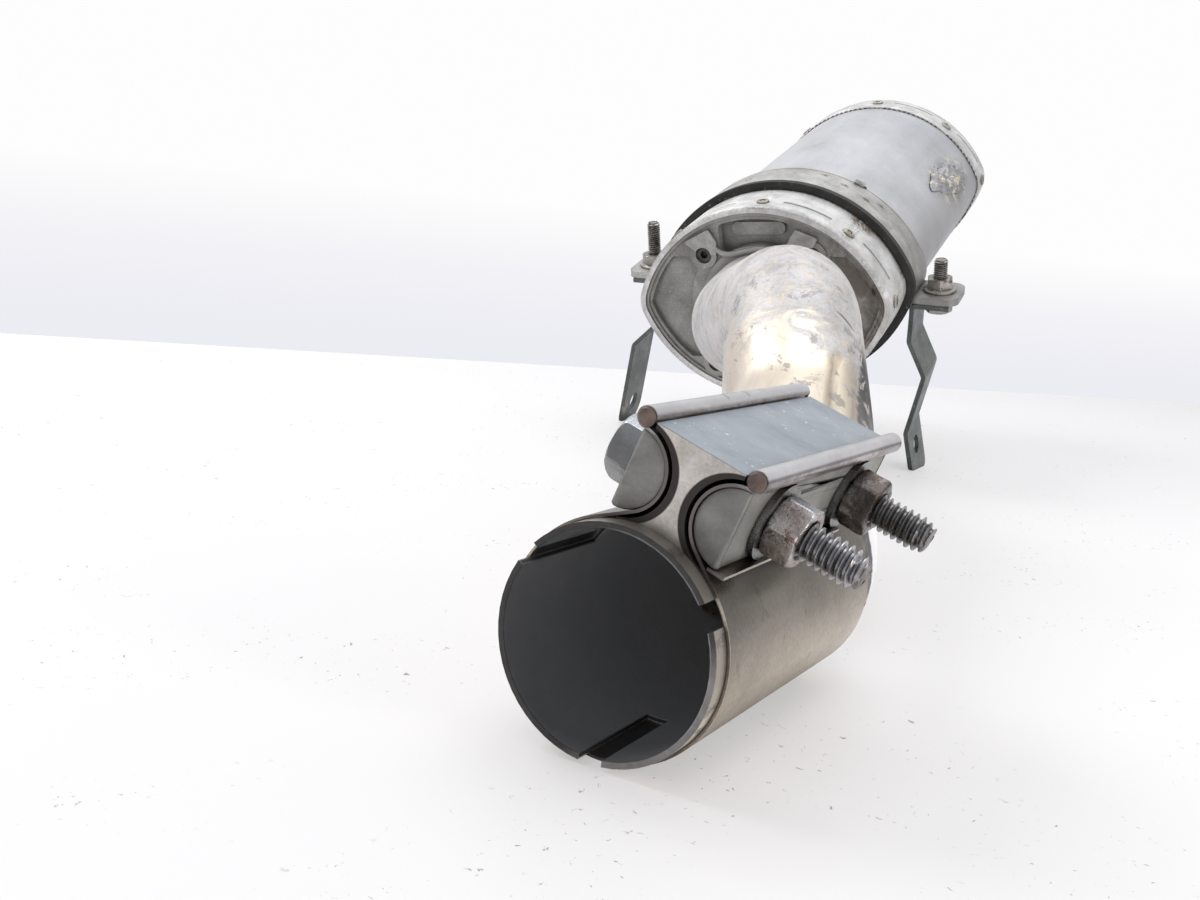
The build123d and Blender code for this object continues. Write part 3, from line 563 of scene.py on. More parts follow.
def capLayers(nt, local, base, cfg):
    x, y = axesOf(nt, local)[:2]
    face = times(nt, facing(nt, -canRear, 0.6, 0.9), span(nt, y, 0.0006, 0.0002))
    # painted light on the lug tops
    lug = times(nt, span(nt, y, -0.0002, -0.0005), span(nt, y, -0.006, -0.004))
    lugPaintedLightCol = ramp(nt, noise(nt, local, 260, 5, 0.7, 0.4),
                  (0.35, (0.29, 0.285, 0.275)), (0.65, (0.44, 0.437, 0.425)))
    base = dye(nt, base, lug, 0.9, lugPaintedLightCol)
    # the web lies within a circle, and the rim outside an oval
    web = times(nt, face, spot(nt, local, (0, 0, 0), (0.0345, 1, 0.0345), 0.03))
    base = dye(nt, base, web, 0.7, (0.32, 0.31, 0.29))
    within = times(nt, face, spot(nt, local, (0, 0, 0), (0.064, 1, 0.046), 0.05))
    # painted light on the rim outside the oval
    rim = calc(nt, "SUBTRACT", face, calc(nt, "MAXIMUM", within, web), clamp=True)
    base = dye(nt, base, rim, 0.35, (0.36, 0.345, 0.32))
    brown = times(nt, span(nt, x, 0.015, 0.045), span(nt, noise(nt, local, 45, 5, 0.65, 0.6), 0.38, 0.58))
    base = dye(nt, base, brown, 0.8, (0.125, 0.098, 0.072))
    stain = spot(nt, local, (0.0615, 0.002, 0.0075), (0.0022, 0.004, 0.0035), 0.5)
    return mixCol(nt, stain, base, (0.03, 0.02, 0.012))


# hanging strips: dark greenish grey paint, one worn pinkish spot
stripLook = dict(
    dark=(0.055, 0.066, 0.060), light=(0.125, 0.140, 0.128), blotch=55, grain=1100,
    roughness=(0.3, 0.48), metal=0.35,
    speck=0.69, speckScale=260, speckCol=(0.20, 0.21, 0.19), bump=0.15, grimeAndShade=0.4,
)


def stripLayers(nt, local, base, cfg):
    worn = spot(nt, local, (-0.1103, 0.0405, -0.0855), (0.004, 0.005, 0.007), 0.8)
    patchy = span(nt, noise(nt, local, 220, 4, 0.7), 0.42, 0.54)
    return mixCol(nt, times(nt, worn, patchy), base, (0.42, 0.33, 0.29))


# rods: grey in the middle, reddish brown rust on the ends
rodLook = dict(
    dark=(0.26, 0.25, 0.25), light=(0.54, 0.53, 0.518), blotch=90, grain=900,
    roughness=(0.34, 0.55), metal=0.75, rust=0.62, rustScale=220, rustCol=(0.16, 0.085, 0.055), bump=0.3,
)


def rodLayers(nt, vec, base, cfg):
    y = axisOf(nt, vec, 1)
    ends = calc(nt, "MAXIMUM", span(nt, y, 0.0060, 0.0053), span(nt, y, 0.0960, 0.0967))
    rusty = ramp(nt, noise(nt, vec, 260, 5, 0.7, 0.5),
                 (0.35, (0.085, 0.060, 0.050)), (0.62, (0.22, 0.15, 0.115)))
    return dye(nt, base, ends, 0.9, rusty)


# clamp nuts: oily, dark brown, wet highlights; a painted bluish reflection on the front nut's upward facets
nutLook = dict(
    dark=(0.28, 0.225, 0.195), light=(0.68, 0.65, 0.63), blotch=140, grain=1200,
    roughness=(0.14, 0.40), metal=0.8,
    rust=0.54, rustScale=180, rustCol=(0.22, 0.145, 0.11), bump=0.6, grimeAndShade=0.6, grimeAndShadeReach=0.004,
)


def nutLayers(nt, vec, base, cfg):
    rear = span(nt, axisOf(nt, vec, 1), 0.045, 0.055)
    # painted bluish reflection on the front nut's upward facets
    upper = times(nt, facing(nt, (0.30, -0.1, 0.95), 0.70, 0.90),
                  calc(nt, "SUBTRACT", 1.0, rear, clamp=True))
    base = dye(nt, base, upper, 0.85, (0.52, 0.545, 0.58))
    oily = times(nt, rear, span(nt, noise(nt, vec, 90, 5, 0.65, 0.6), 0.30, 0.52))
    return dye(nt, base, oily, 0.85, (0.042, 0.030, 0.024))


# mounting band: grey sheet, pitted, with a dark line along its rear fold
bandLook = dict(
    dark=(0.30, 0.293, 0.28), light=(0.52, 0.51, 0.49), blotch=85, grain=1100,
    roughness=(0.38, 0.55), metal=0.55,
    rust=0.66, rustScale=110, rustCol=(0.12, 0.10, 0.085), bump=0.25, grimeAndShade=0.6, grimeAndShadeReach=0.003,
    pits=((0.022, 0.060, 0.054), (0.034, 0.055, 0.050), (0.046, 0.052, 0.0425), (0.052, 0.058, 0.037),
          (-0.020, 0.052, 0.055)),
)


def bandLayers(nt, local, base, cfg):
    x, y, z = axesOf(nt, local)
    fold = times(nt, span(nt, y, 0.0645, 0.0649), span(nt, y, 0.0657, 0.0653), span(nt, z, 0.005, 0.015))
    base = dye(nt, base, fold, 0.85, (0.045, 0.042, 0.038))
    # painted highlight just behind the rear fold
    paintedShine = times(nt, span(nt, y, 0.0658, 0.0662), span(nt, z, 0.005, 0.015))
    base = dye(nt, base, paintedShine, 0.5, (0.62, 0.60, 0.56))
    # painted shade down the band's right side
    paintedShadeRight = times(nt, span(nt, x, 0.046, 0.066), span(nt, z, 0.036, 0.008))
    base = dye(nt, base, paintedShadeRight, 0.6, (0.20, 0.195, 0.185))
    ragged = span(nt, noise(nt, local, 450, 4, 0.7, 0.6), 0.40, 0.52)
    for pit in cfg["pits"]:
        mark = spot(nt, local, pit, (0.0034, 0.0022, 0.0034), 0.5)
        base = mixCol(nt, times(nt, mark, ragged), base, (0.11, 0.085, 0.065))
    return base


# bolts: plated steel with grime and painted shade in the thread roots, thread crests catching the light,
# brown battered ends, painted light on the heads' upward facets
boltLook = dict(
    dark=(0.21, 0.205, 0.21), light=(0.50, 0.50, 0.515), blotch=150, grain=1300,
    roughness=(0.2, 0.38), metal=0.9,
    bump=0.2, grimeAndShade=0.8, grimeAndShadeReach=0.0012, grimeAndShadeCol=(0.05, 0.042, 0.038), rust=0.62, rustScale=160,
    rustCol=(0.15, 0.095, 0.07), tip=(0.10, 0.080, 0.068),
)


def boltLayers(nt, local, base, cfg):
    x, y = axesOf(nt, local)[:2]
    worn = noise(nt, local, 240, 5, 0.7, 0.6)
    end = sway(nt, x, worn, 0.006)
    base = mixCol(nt, span(nt, end, 0.0385, 0.0396), base, cfg["tip"])
    dusky = times(nt, span(nt, y, 0.045, 0.055), span(nt, x, 0.016, 0.020))
    base = dye(nt, base, dusky, 0.55, (0.12, 0.115, 0.105))
    washers = times(nt, span(nt, x, 0.0100, 0.0105), span(nt, x, 0.0185, 0.0180))
    base = dye(nt, base, washers, 0.8, (0.19, 0.185, 0.175))
    # painted light on the heads' upward facets
    heads = span(nt, x, -0.0140, -0.0148)
    headPaintedLightCol = mixCol(nt, facing(nt, (0, 0, 1), 0.2, 0.7), (0.19, 0.192, 0.186), (0.42, 0.44, 0.46))
    return dye(nt, base, heads, 0.8, headPaintedLightCol)


# plain worn finishes
finishes = {
    "bar_steel": dict(
        dark=(0.200, 0.197, 0.180), light=(0.350, 0.345, 0.322), blotch=60, grain=1100, grainMix=0.12,
        roughness=(0.42, 0.6), metal=0.45, bump=0.1, grimeAndShade=0.75, grimeAndShadeReach=0.004,
        rust=0.70, rustCol=(0.12, 0.10, 0.085)),
    "screw_steel": dict(
        dark=(0.03, 0.03, 0.03), light=(0.10, 0.10, 0.095), blotch=120, grain=1000,
        roughness=(0.35, 0.55), metal=0.6, grimeAndShade=0.7, grimeAndShadeReach=0.004),
    "inner_steel": dict(
        dark=(0.30, 0.29, 0.28), light=(0.44, 0.43, 0.42), blotch=50, grain=900,
        roughness=(0.35, 0.5), metal=0.9),
    "rivet_metal": dict(
        dark=(0.22, 0.20, 0.17), light=(0.50, 0.47, 0.40), blotch=260, grain=1500,
        roughness=(0.38, 0.55), metal=0.6, bump=0.4, grimeAndShade=0.9, grimeAndShadeReach=0.0025,
        grimeAndShadeCol=(0.07, 0.055, 0.04)),
    "packing_fibre": dict(
        dark=(0.42, 0.38, 0.30), light=(0.62, 0.58, 0.48), blotch=90, grain=1600,
        roughness=(0.9, 1.0), metal=0.0),
    "liner_rubber": dict(
        dark=(0.012, 0.0115, 0.010), light=(0.034, 0.032, 0.029), blotch=70, grain=1200,
        roughness=(0.6, 0.8), metal=0.0, bump=0.3, speck=0.68, speckScale=500, speckCol=(0.10, 0.095, 0.085)),
    "ear_steel": dict(
        dark=(0.19, 0.175, 0.155), light=(0.42, 0.40, 0.37), blotch=120, grain=1100,
        roughness=(0.3, 0.48), metal=0.7, bump=0.3, grimeAndShade=0.8, grimeAndShadeReach=0.002,
        rust=0.56, rustScale=180, rustCol=(0.10, 0.07, 0.05)),
}
slotMats = {slot: wornMetal(slot, look) for slot, look in finishes.items()}
layered = {
    "ring_metal": (ringLook, ringLayers, canFrame),
    "cap_metal": (capLook, capLayers, canFrame),
    "strip_metal": (stripLook, stripLayers, canFrame),
    "band_metal": (bandLook, bandLayers, canFrame),
    "bolt_steel": (boltLook, boltLayers, clampFrame),
    "rod_steel": (rodLook, rodLayers, None),
    "nut_steel": (nutLook, nutLayers, None),
}
for slot, (look, layers, place) in layered.items():
    slotMats[slot] = wornMetal(slot, look, layers, place)
slotMats["pipe_steel"] = pipeSteel("pipe_steel", pipeLook)
slotMats["strap_steel"] = strapSteel("strap_steel", strapLook)
slotMats["block_steel"] = blockSteel("block_steel", blockLook)
slotMats["sleeve_metal"] = sleeveMetal("sleeve_metal", sleeveLook)
slotOf = {s["node"]: s["material_slot"] for s in frame["record"]["subparts"]}
for name, obj in nodes.items():
    obj.data.materials.clear()
    obj.data.materials.append(slotMats[slotOf[name]])
print("finishes on", len(nodes), "nodes")


# modelling helpers

def clearPick():
    if bpy.context.mode != "OBJECT":
        bpy.ops.object.mode_set(mode="OBJECT")
    bpy.ops.object.select_all(action="DESELECT")


def pickOnly(obj):
    clearPick()
    bpy.context.view_layer.objects.active = obj
    obj.select_set(True)


def editOn(obj):
    pickOnly(obj)
    bpy.ops.object.mode_set(mode="EDIT")


def editOff():
    bpy.ops.object.mode_set(mode="OBJECT")


def pick(kind, test):
    # faces go by their middle and normal, edges by their middle and run, vertices by their place
    obj = bpy.context.object
    bpy.ops.mesh.select_all(action="DESELECT")
    bpy.ops.mesh.select_mode(type=kind)
    bm = bmesh.from_edit_mesh(obj.data)
    if kind == "FACE":
        found = [f for f in bm.faces if test(f.calc_center_median(), f.normal)]
    elif kind == "EDGE":
        ends = [(e, e.verts[0].co, e.verts[1].co) for e in bm.edges]
        found = [e for e, a, b in ends if test((a + b) / 2, b - a)]
    else:
        found = [v for v in bm.verts if test(v.co)]
    for item in found:
        item.select_set(True)
    bm.select_flush_mode()
    bmesh.update_edit_mesh(obj.data)


def pull(dx, dy, dz):
    bpy.ops.mesh.extrude_region_move(TRANSFORM_OT_translate={"value": (dx, dy, dz)})


def drum(vertices, radius, low, high):
    # cylinder along z, its place written into its mesh
    clearPick()
    bpy.ops.mesh.primitive_cylinder_add(vertices=vertices, radius=radius, depth=high - low,
                                        location=(0, 0, (high + low) / 2))
    bpy.ops.object.transform_apply(location=True, rotation=True, scale=True)
    return bpy.context.object


def nodeCopy(node, name):
    # merged copy of one solid's mesh, to be worked on
    new = nodes[node].copy()
    new.data = nodes[node].data.copy()
    new.parent = None
    bpy.context.collection.objects.link(new)
    new.name = name
    tidyNormals(new)
    return new


def useModifier(obj, kind, **values):
    pickOnly(obj)
    mod = obj.modifiers.new(kind.lower(), kind)
    for key, val in values.items():
        setattr(mod, key, val)
    bpy.ops.object.modifier_apply(modifier=mod.name)


def batter(obj, name, size, depth, strength, mid, direction="NORMAL"):
    # knocks the surface about by a cloud texture
    clouds = bpy.data.textures.new(name, "CLOUDS")
    clouds.noise_scale = size
    clouds.noise_depth = depth
    useModifier(obj, "DISPLACE", texture=clouds, strength=strength, mid_level=mid, texture_coords="LOCAL",
                direction=direction)


def carve(obj, tool, operation="DIFFERENCE"):
    useModifier(obj, "BOOLEAN", operation=operation, solver="EXACT", object=tool)
    bpy.data.objects.remove(tool, do_unlink=True)


def smoothBy(obj, angle=35):
    pickOnly(obj)
    bpy.ops.object.shade_smooth_by_angle(angle=radians(angle))


def settle(obj, mtx):
    # writes the object's place into its mesh
    pickOnly(obj)
    obj.matrix_world = mtx
    bpy.ops.object.transform_apply(location=True, rotation=True, scale=True)


def tidyNormals(obj):
    editOn(obj)
    bpy.ops.mesh.select_all(action="SELECT")
    bpy.ops.mesh.remove_doubles(threshold=0.000002)
    bpy.ops.mesh.normals_make_consistent(inside=False)
    editOff()


def copyAt(obj, mtx, name):
    new = obj.copy()
    new.data = obj.data.copy()
    bpy.context.collection.objects.link(new)
    new.name = name
    settle(new, mtx)
    return new


def joinAll(objs, name):
    clearPick()
    for o in objs:
        o.select_set(True)
    bpy.context.view_layer.objects.active = objs[0]
    bpy.ops.object.join()
    objs[0].name = name
    return objs[0]


def finishPiece(obj, slot, *replaced):
    obj.data.materials.clear()
    obj.data.materials.append(slotMats[slot])
    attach(obj, "root")
    if replaced:
        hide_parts(*replaced)


def threadedRod(name, cfg):
    # one turn's tooth profile, screwed up the axis, trimmed flat and tapered at its tip
    pitch = cfg["pitch"]
    outer = cfg["radius"]
    inner = outer - 0.6 * pitch
    clearPick()
    bpy.ops.mesh.primitive_plane_add(size=pitch, location=(0, 0, 0))
    rod = bpy.context.object
    rod.name = name
    bpy.ops.object.mode_set(mode="EDIT")
    bpy.ops.mesh.select_mode(type="VERT")
    bpy.ops.mesh.select_all(action="SELECT")
    bpy.ops.mesh.merge(type="CENTER")
    bpy.ops.transform.translate(value=(inner, 0, cfg["low"] - pitch))
    # root, flank, crest, flank, root, their heights as shares of the pitch
    for dx, dz in ((0, 0.14), (outer - inner, 0.30), (0, 0.12), (inner - outer, 0.30), (0, 0.14)):
        pull(dx, 0, dz * pitch)
    editOff()
    turns = int((cfg["high"] - cfg["low"]) / pitch) + 3
    useModifier(rod, "SCREW", axis="Z", angle=tau, screw_offset=pitch, iterations=turns, steps=cfg["steps"],
                render_steps=cfg["steps"], use_merge_vertices=True, merge_threshold=0.000005)
    editOn(rod)
    for height, up in ((cfg["low"], -1), (cfg["high"], 1)):
        bpy.ops.mesh.select_all(action="SELECT")
        bpy.ops.mesh.bisect(plane_co=(0, 0, height), plane_no=(0, 0, up), use_fill=True, clear_outer=True)
    editOff()
    tidyNormals(rod)
    # worn taper at the tip
    editOn(rod)
    for step in range(4):
        pick("VERT", lambda co: co.z > cfg["high"] - cfg["tip"] * (1 - step / 4))
        bpy.ops.transform.resize(value=(0.95, 0.95, 1), center_override=(0, 0, cfg["high"]))
    editOff()
    batter(rod, name + "Wear", cfg["wearSize"], 2, cfg["wear"], 0.55)
    return rod


def hexBody(name, flat, low, high, crown, roundness):
    # six-sided prism whose corners are turned off like a real nut's
    corner = flat / 2 / cos(radians(30))
    body = drum(6, corner, low, high)
    body.name = name
    turned = drum(72, corner * 1.01, low, high)
    editOn(turned)
    pick("FACE", lambda mid, normal: abs(normal.z) > 0.9)
    bpy.ops.mesh.bevel(offset=crown, segments=3)
    editOff()
    carve(body, turned, "INTERSECT")
    useModifier(body, "BEVEL", width=roundness, segments=2, limit_method="ANGLE", angle_limit=radians(40))
    return body


# two clamp bolts: worn hex head, plain shank, coarse thread with a battered tip
clampBolt = dict(
    radius=4.75 * mm, pitch=1.95 * mm, low=18 * mm, high=39.7 * mm, steps=36, tip=3.0 * mm,
    wear=0.2 * mm, wearSize=5 * mm, headFlat=16.2 * mm, headLow=-25.2 * mm, headHigh=-14.8 * mm,
    crown=2.2 * mm, round=1.3 * mm, sag=(1.2 * mm, 3.6 * mm), turns=(14, 52),
    axisUp=38 * mm, along=(26 * mm, 76 * mm),
)


def clampBoltFrame(along):
    # z along the bolt, from the head to the tip
    return axesAt(clampUp * clampBolt["axisUp"] + clampRear * along, clampUp, -clampRear, clampAcross)


def makeClampBolts(cfg):
    thread = threadedRod("clampThread", cfg)
    head = hexBody("clampHead", cfg["headFlat"], cfg["headLow"], cfg["headHigh"], cfg["crown"], cfg["round"])
    shank = drum(40, cfg["radius"] * 0.97, cfg["headHigh"] - 0.5 * mm, cfg["low"] + 0.5 * mm)
    editOn(shank)
    pick("FACE", lambda mid, normal: normal.z > 0.9)
    bpy.ops.mesh.bevel(offset=0.8 * mm, segments=2)
    editOff()
    one = joinAll([thread, shank], "clampBolt")
    # the heads have pulled over towards the mouth
    pulled = shift(-cfg["sag"][0], cfg["sag"][1], 0)
    made = []
    for along, turn in zip(cfg["along"], cfg["turns"]):
        made.append(copyAt(one, clampBoltFrame(along) @ spin(turn), "bolt"))
        made.append(copyAt(head, clampBoltFrame(along) @ pulled @ spin(turn), "head"))
    bpy.data.objects.remove(one, do_unlink=True)
    bpy.data.objects.remove(head, do_unlink=True)
    bolts = joinAll(made, "clampBoltPair")
    smoothBy(bolts)
    finishPiece(bolts, "bolt_steel", "clamp_bolts")


makeClampBolts(clampBolt)
print("clamp bolts threaded")

# two clamp nuts, turned to different angles, corners rounded by wear
clampNut = dict(
    flat=14.3 * mm, low=16.4 * mm, high=24.6 * mm, bore=4.78 * mm, crown=1.5 * mm, round=0.6 * mm,
    lip=0.5 * mm, turns=(-8, 22), wear=0.55 * mm, wearShares=(0.55, 1.0), wearSize=3.5 * mm, voxel=0.3 * mm,
)


def makeClampNuts(cfg):
    body = hexBody("clampNut", cfg["flat"], cfg["low"], cfg["high"], cfg["crown"], cfg["round"])
    carve(body, drum(40, cfg["bore"], 0, 40 * mm))
    editOn(body)
    pick("EDGE", lambda mid, run: abs(run.z) < 1e-6 and mid.to_2d().length < cfg["bore"] * 1.02)
    bpy.ops.mesh.bevel(offset=cfg["lip"], segments=1)
    bpy.ops.mesh.select_all(action="SELECT")
    bpy.ops.mesh.quads_convert_to_tris()
    editOff()
    useModifier(body, "REMESH", mode="VOXEL", voxel_size=cfg["voxel"])
    made = [copyAt(body, clampBoltFrame(along) @ spin(turn), "nut")
            for along, turn in zip(clampBolt["along"], cfg["turns"])]
    bpy.data.objects.remove(body, do_unlink=True)
    for nut, share in zip(made, cfg["wearShares"]):
        batter(nut, "nutWear", cfg["wearSize"], 3, cfg["wear"] * share, 0.55)
    nuts = joinAll(made, "clampNutPair")
    smoothBy(nuts)
    finishPiece(nuts, "nut_steel", "clamp_nuts")


makeClampNuts(clampNut)
print("clamp nuts made")

# half-round bars with their edges worn round, and the pins in the strap's rolled ends
barCfg = dict(round=0.9 * mm, rodR=1.85 * mm, headR=2.3 * mm, headLong=0.62 * mm,
              front=4.6 * mm, rear=97.4 * mm, across=14.8 * mm, up=50.65 * mm)


def makeBars(cfg):
    for node, name in (("left_d_bar", "leftBarWorn"), ("right_d_bar", "rightBarWorn")):
        bar = nodeCopy(node, name)
        useModifier(bar, "BEVEL", width=cfg["round"], segments=4, limit_method="ANGLE",
                    angle_limit=radians(50))
        smoothBy(bar, 40)
        finishPiece(bar, "bar_steel", node)


def makeRods(cfg):
    rod = drum(40, cfg["rodR"], cfg["front"], cfg["rear"])
    editOn(rod)
    # flattened, spread ends outside the rolled sheet
    for height, up in ((cfg["front"], 1), (cfg["rear"], -1)):
        pick("FACE", lambda mid, normal: abs(mid.z - height) < 0.1 * mm and abs(normal.z) > 0.9)
        bpy.ops.transform.translate(value=(0, 0, up * cfg["headLong"]))
        pull(0, 0, 0)
        bpy.ops.transform.resize(value=(cfg["headR"] / cfg["rodR"],) * 2 + (1,))
        pull(0, 0, -up * cfg["headLong"] * 0.6)
        pull(0, 0, -up * cfg["headLong"] * 0.4)
        bpy.ops.transform.resize(value=(0.86, 0.86, 1))
        bpy.ops.mesh.inset(thickness=0.5 * mm, depth=-0.06 * mm)
    editOff()
    tidyNormals(rod)
    for side, node, name in ((-1, "left_rod", "leftPin"), (1, "right_rod", "rightPin")):
        origin = clampAcross * (side * cfg["across"]) + clampUp * cfg["up"]
        pin = copyAt(rod, Matrix.Translation(origin) @ spin(-90, "X"), name)
        smoothBy(pin, 40)
        finishPiece(pin, "rod_steel", node)
    bpy.data.objects.remove(rod, do_unlink=True)


makeBars(barCfg)
makeRods(barCfg)
print("bars and pins made")

# ear fasteners: M8 studs with hex heads below and flanged nuts above
earLook = dict(
    boltX=84.8 * mm, middle=53.0 * mm, drop=-4 * mm, roll=-4.5, radius=3.75 * mm, pitch=1.25 * mm,
    foot=4.5 * mm, headFlat=13 * mm, headHeight=5.3 * mm, crown=1.1 * mm, round=0.3 * mm,
    rightTop=20 * mm, leftTop=28.7 * mm, bandSheet=2 * mm, flangeR=8.9 * mm, flangeSheet=1.5 * mm,
    nutHeight=6 * mm, nutTurns=(12, 40),
)


def earFrame(side):
    # z up the bolt, from where the two ears meet
    cfg = earLook
    middle = canFrame @ shift(0, cfg["middle"], cfg["drop"]) @ spin(-cfg["roll"], "Y")
    return middle @ shift(side * cfg["boltX"], 0, 0)


def makeEarBolt(side, top, name, node):
    cfg = earLook
    radius, foot = cfg["radius"], cfg["foot"]
    thread = threadedRod(name + "Thread", dict(
        radius=radius, pitch=cfg["pitch"], low=1 * mm, high=top, steps=32, tip=1.0 * mm,
        wear=0.12 * mm, wearSize=1.8 * mm))
    head = hexBody(name + "Head", cfg["headFlat"], -foot - cfg["headHeight"], -foot,
                   cfg["crown"], cfg["round"])
    shank = drum(36, radius * 0.97, -foot - 0.2 * mm, 1.8 * mm)
    core = drum(28, radius - 0.68 * cfg["pitch"], -0.005 * mm, top - 0.155 * mm)
    bolt = joinAll([thread, head, shank, core], name)
    settle(bolt, earFrame(side) @ spin(30))
    smoothBy(bolt)
    finishPiece(bolt, "ear_steel", node)


def makeEarNuts():
    cfg = earLook
    low, sheet = cfg["bandSheet"], cfg["flangeSheet"]
    body = hexBody("earNut", cfg["headFlat"], low + sheet * 0.6, low + sheet + cfg["nutHeight"],
                   cfg["crown"], cfg["round"])
    flange = drum(56, cfg["flangeR"], low, low + sheet)
    editOn(flange)
    pick("FACE", lambda mid, normal: normal.z > 0.9)
    bpy.ops.mesh.bevel(offset=0.7 * mm, segments=3)
    pick("FACE", lambda mid, normal: normal.z > 0.99 and mid.to_2d().length < 0.1 * mm)
    bpy.ops.mesh.inset(thickness=1.2 * mm, depth=0.7 * mm)
    editOff()
    carve(body, flange, "UNION")
    carve(body, drum(36, cfg["radius"] * 1.02, -20 * mm, 20 * mm))
    made = [copyAt(body, earFrame(side) @ spin(turn), "nut") for side, turn in zip((1, -1), cfg["nutTurns"])]
    bpy.data.objects.remove(body, do_unlink=True)
    nuts = joinAll(made, "earNutPair")
    smoothBy(nuts)
    finishPiece(nuts, "ear_steel", "ear_nuts")


makeEarBolt(1, earLook["rightTop"], "rightStud", "right_ear_bolt")
makeEarBolt(-1, earLook["leftTop"], "leftStud", "left_ear_bolt")
makeEarNuts()
print("ear fasteners made")

# canister section: the upper arc's centre lies below the middle and the lower arc's above it
canShape = dict(arcR=73.6 * mm, arcCentre=20.4 * mm, ringSheet=1.2 * mm, halfWidth=69.8 * mm)


def arcFrame(depth, below=False):
    # at the centre of the upper or the lower arc, that deep behind the canister's front
    half = spin(180, "Y") if below else Matrix()
    return canFrame @ half @ shift(0, depth, -canShape["arcCentre"])


def onSkin(angle, depth, lift, below=False):
    # frame on the canister's skin: z out, y along the axis; the angle is measured from straight up
    return arcFrame(depth, below) @ spin(angle, "Y") @ shift(0, 0, canShape["arcR"] + lift)


# rivets: domed heads with a dimple and a worn collar
rivetCfg = dict(r=3.4 * mm, high=1.3 * mm, round=0.75 * mm, rim=1.05 * mm, dip=0.7 * mm, sunk=0.15 * mm,
                angles=(-40, 2, 40), frontDepth=9.5 * mm, rearDepth=253.5 * mm)


def makeRivets(cfg):
    one = drum(32, cfg["r"], 0, cfg["high"])
    editOn(one)
    pick("FACE", lambda mid, normal: normal.z > 0.9)
    bpy.ops.mesh.bevel(offset=cfg["round"], segments=4)
    pick("FACE", lambda mid, normal: normal.z > 0.99 and mid.to_2d().length < 0.1 * mm)
    bpy.ops.mesh.inset(thickness=cfg["rim"])
    bpy.ops.mesh.inset(thickness=0.2 * mm, depth=-cfg["dip"])
    bpy.ops.mesh.inset(thickness=0.35 * mm)
    bpy.ops.mesh.inset(thickness=0.2 * mm, depth=cfg["dip"] * 0.6)
    editOff()
    tidyNormals(one)
    lift = canShape["ringSheet"] - cfg["sunk"]
    for end in ("front", "rear"):
        depth = cfg[end + "Depth"]
        made = [copyAt(one, onSkin(angle, depth, lift, below), "rivet")
                for below in (False, True) for angle in cfg["angles"]]
        for turn in (90, -90):
            flank = canFrame @ shift(0, depth, 0) @ spin(turn, "Y")
            made.append(copyAt(one, flank @ shift(0, 0, canShape["halfWidth"] + lift), "rivet"))
        heads = joinAll(made, end + "RivetHeads")
        smoothBy(heads, 50)
        finishPiece(heads, "rivet_metal", end + "_rivets")
    bpy.data.objects.remove(one, do_unlink=True)


makeRivets(rivetCfg)
print("rivets made")

# crimp marks: narrow grooves pressed into both rings between the rivets
crimpCfg = dict(spans=((-65, -47), (-29, -11), (10, 31), (47, 65)), thin=0.8 * mm,
                frontDepth=12.5 * mm, rearDepth=257.5 * mm)


def refineArcs(ring):
    # finer facets on the upper and lower arcs, so the grooves don't break up their shine
    outer = canShape["arcR"] + canShape["ringSheet"]
    inverse = canFrame.inverted()

    def fromArc(place):
        local = inverse @ place
        side = 1 if local.z > 0 else -1
        return local, side, Vector((local.x, 0, local.z + side * canShape["arcCentre"]))

    editOn(ring)
    pick("FACE", lambda mid, normal: abs(fromArc(mid)[2].length - outer) < 0.12 * mm)
    bpy.ops.mesh.subdivide(number_cuts=3)
    bm = bmesh.from_edit_mesh(ring.data)
    for v in bm.verts:
        local, side, arm = fromArc(v.co)
        if abs(arm.length - outer) < 0.15 * mm:
            arm *= outer / arm.length
            v.co = canFrame @ Vector((arm.x, local.y, arm.z - side * canShape["arcCentre"]))
    bmesh.update_edit_mesh(ring.data)
    editOff()


def crimpTool(cfg, start, end, depth, below):
    # the part of a thin ring that lies between two angles
    clearPick()
    bpy.ops.mesh.primitive_torus_add(major_segments=180, minor_segments=10, minor_radius=cfg["thin"],
                                     major_radius=canShape["arcR"] + canShape["ringSheet"])
    tool = bpy.context.object
    editOn(tool)
    cuts = []
    for angle, sign in ((start, -1), (end, 1)):
        a = radians(90 - angle)
        cuts.append((sin(a) * sign, -cos(a) * sign, 0))
    for away in cuts + [(0, -1, 0)]:
        bpy.ops.mesh.select_all(action="SELECT")
        bpy.ops.mesh.bisect(plane_co=(0, 0, 0), plane_no=away, use_fill=True, clear_outer=True)
    editOff()
    settle(tool, arcFrame(depth, below) @ spin(90, "X"))
    return tool


def makeCrimps(cfg):
    for end in ("front", "rear"):
        ring = nodeCopy(end + "_ring", end + "RingSheet")
        refineArcs(ring)
        tools = [crimpTool(cfg, low, high, cfg[end + "Depth"], below)
                 for below in (False, True) for low, high in cfg["spans"]]
        cutter = joinAll(tools, "crimpTools")
        tidyNormals(cutter)
        carve(ring, cutter)
        smoothBy(ring)
        finishPiece(ring, "ring_metal", end + "_ring")


makeCrimps(crimpCfg)
print("rings crimped")

# scuffed heap on the sleeve: crumpled skin with a ragged outline
scuffCfg = dict(angle=58.5, depth=190 * mm, turn=-6, long=46 * mm, wide=12.5 * mm, high=4.6 * mm,
                thick=0.6 * mm, wearSize=4 * mm)


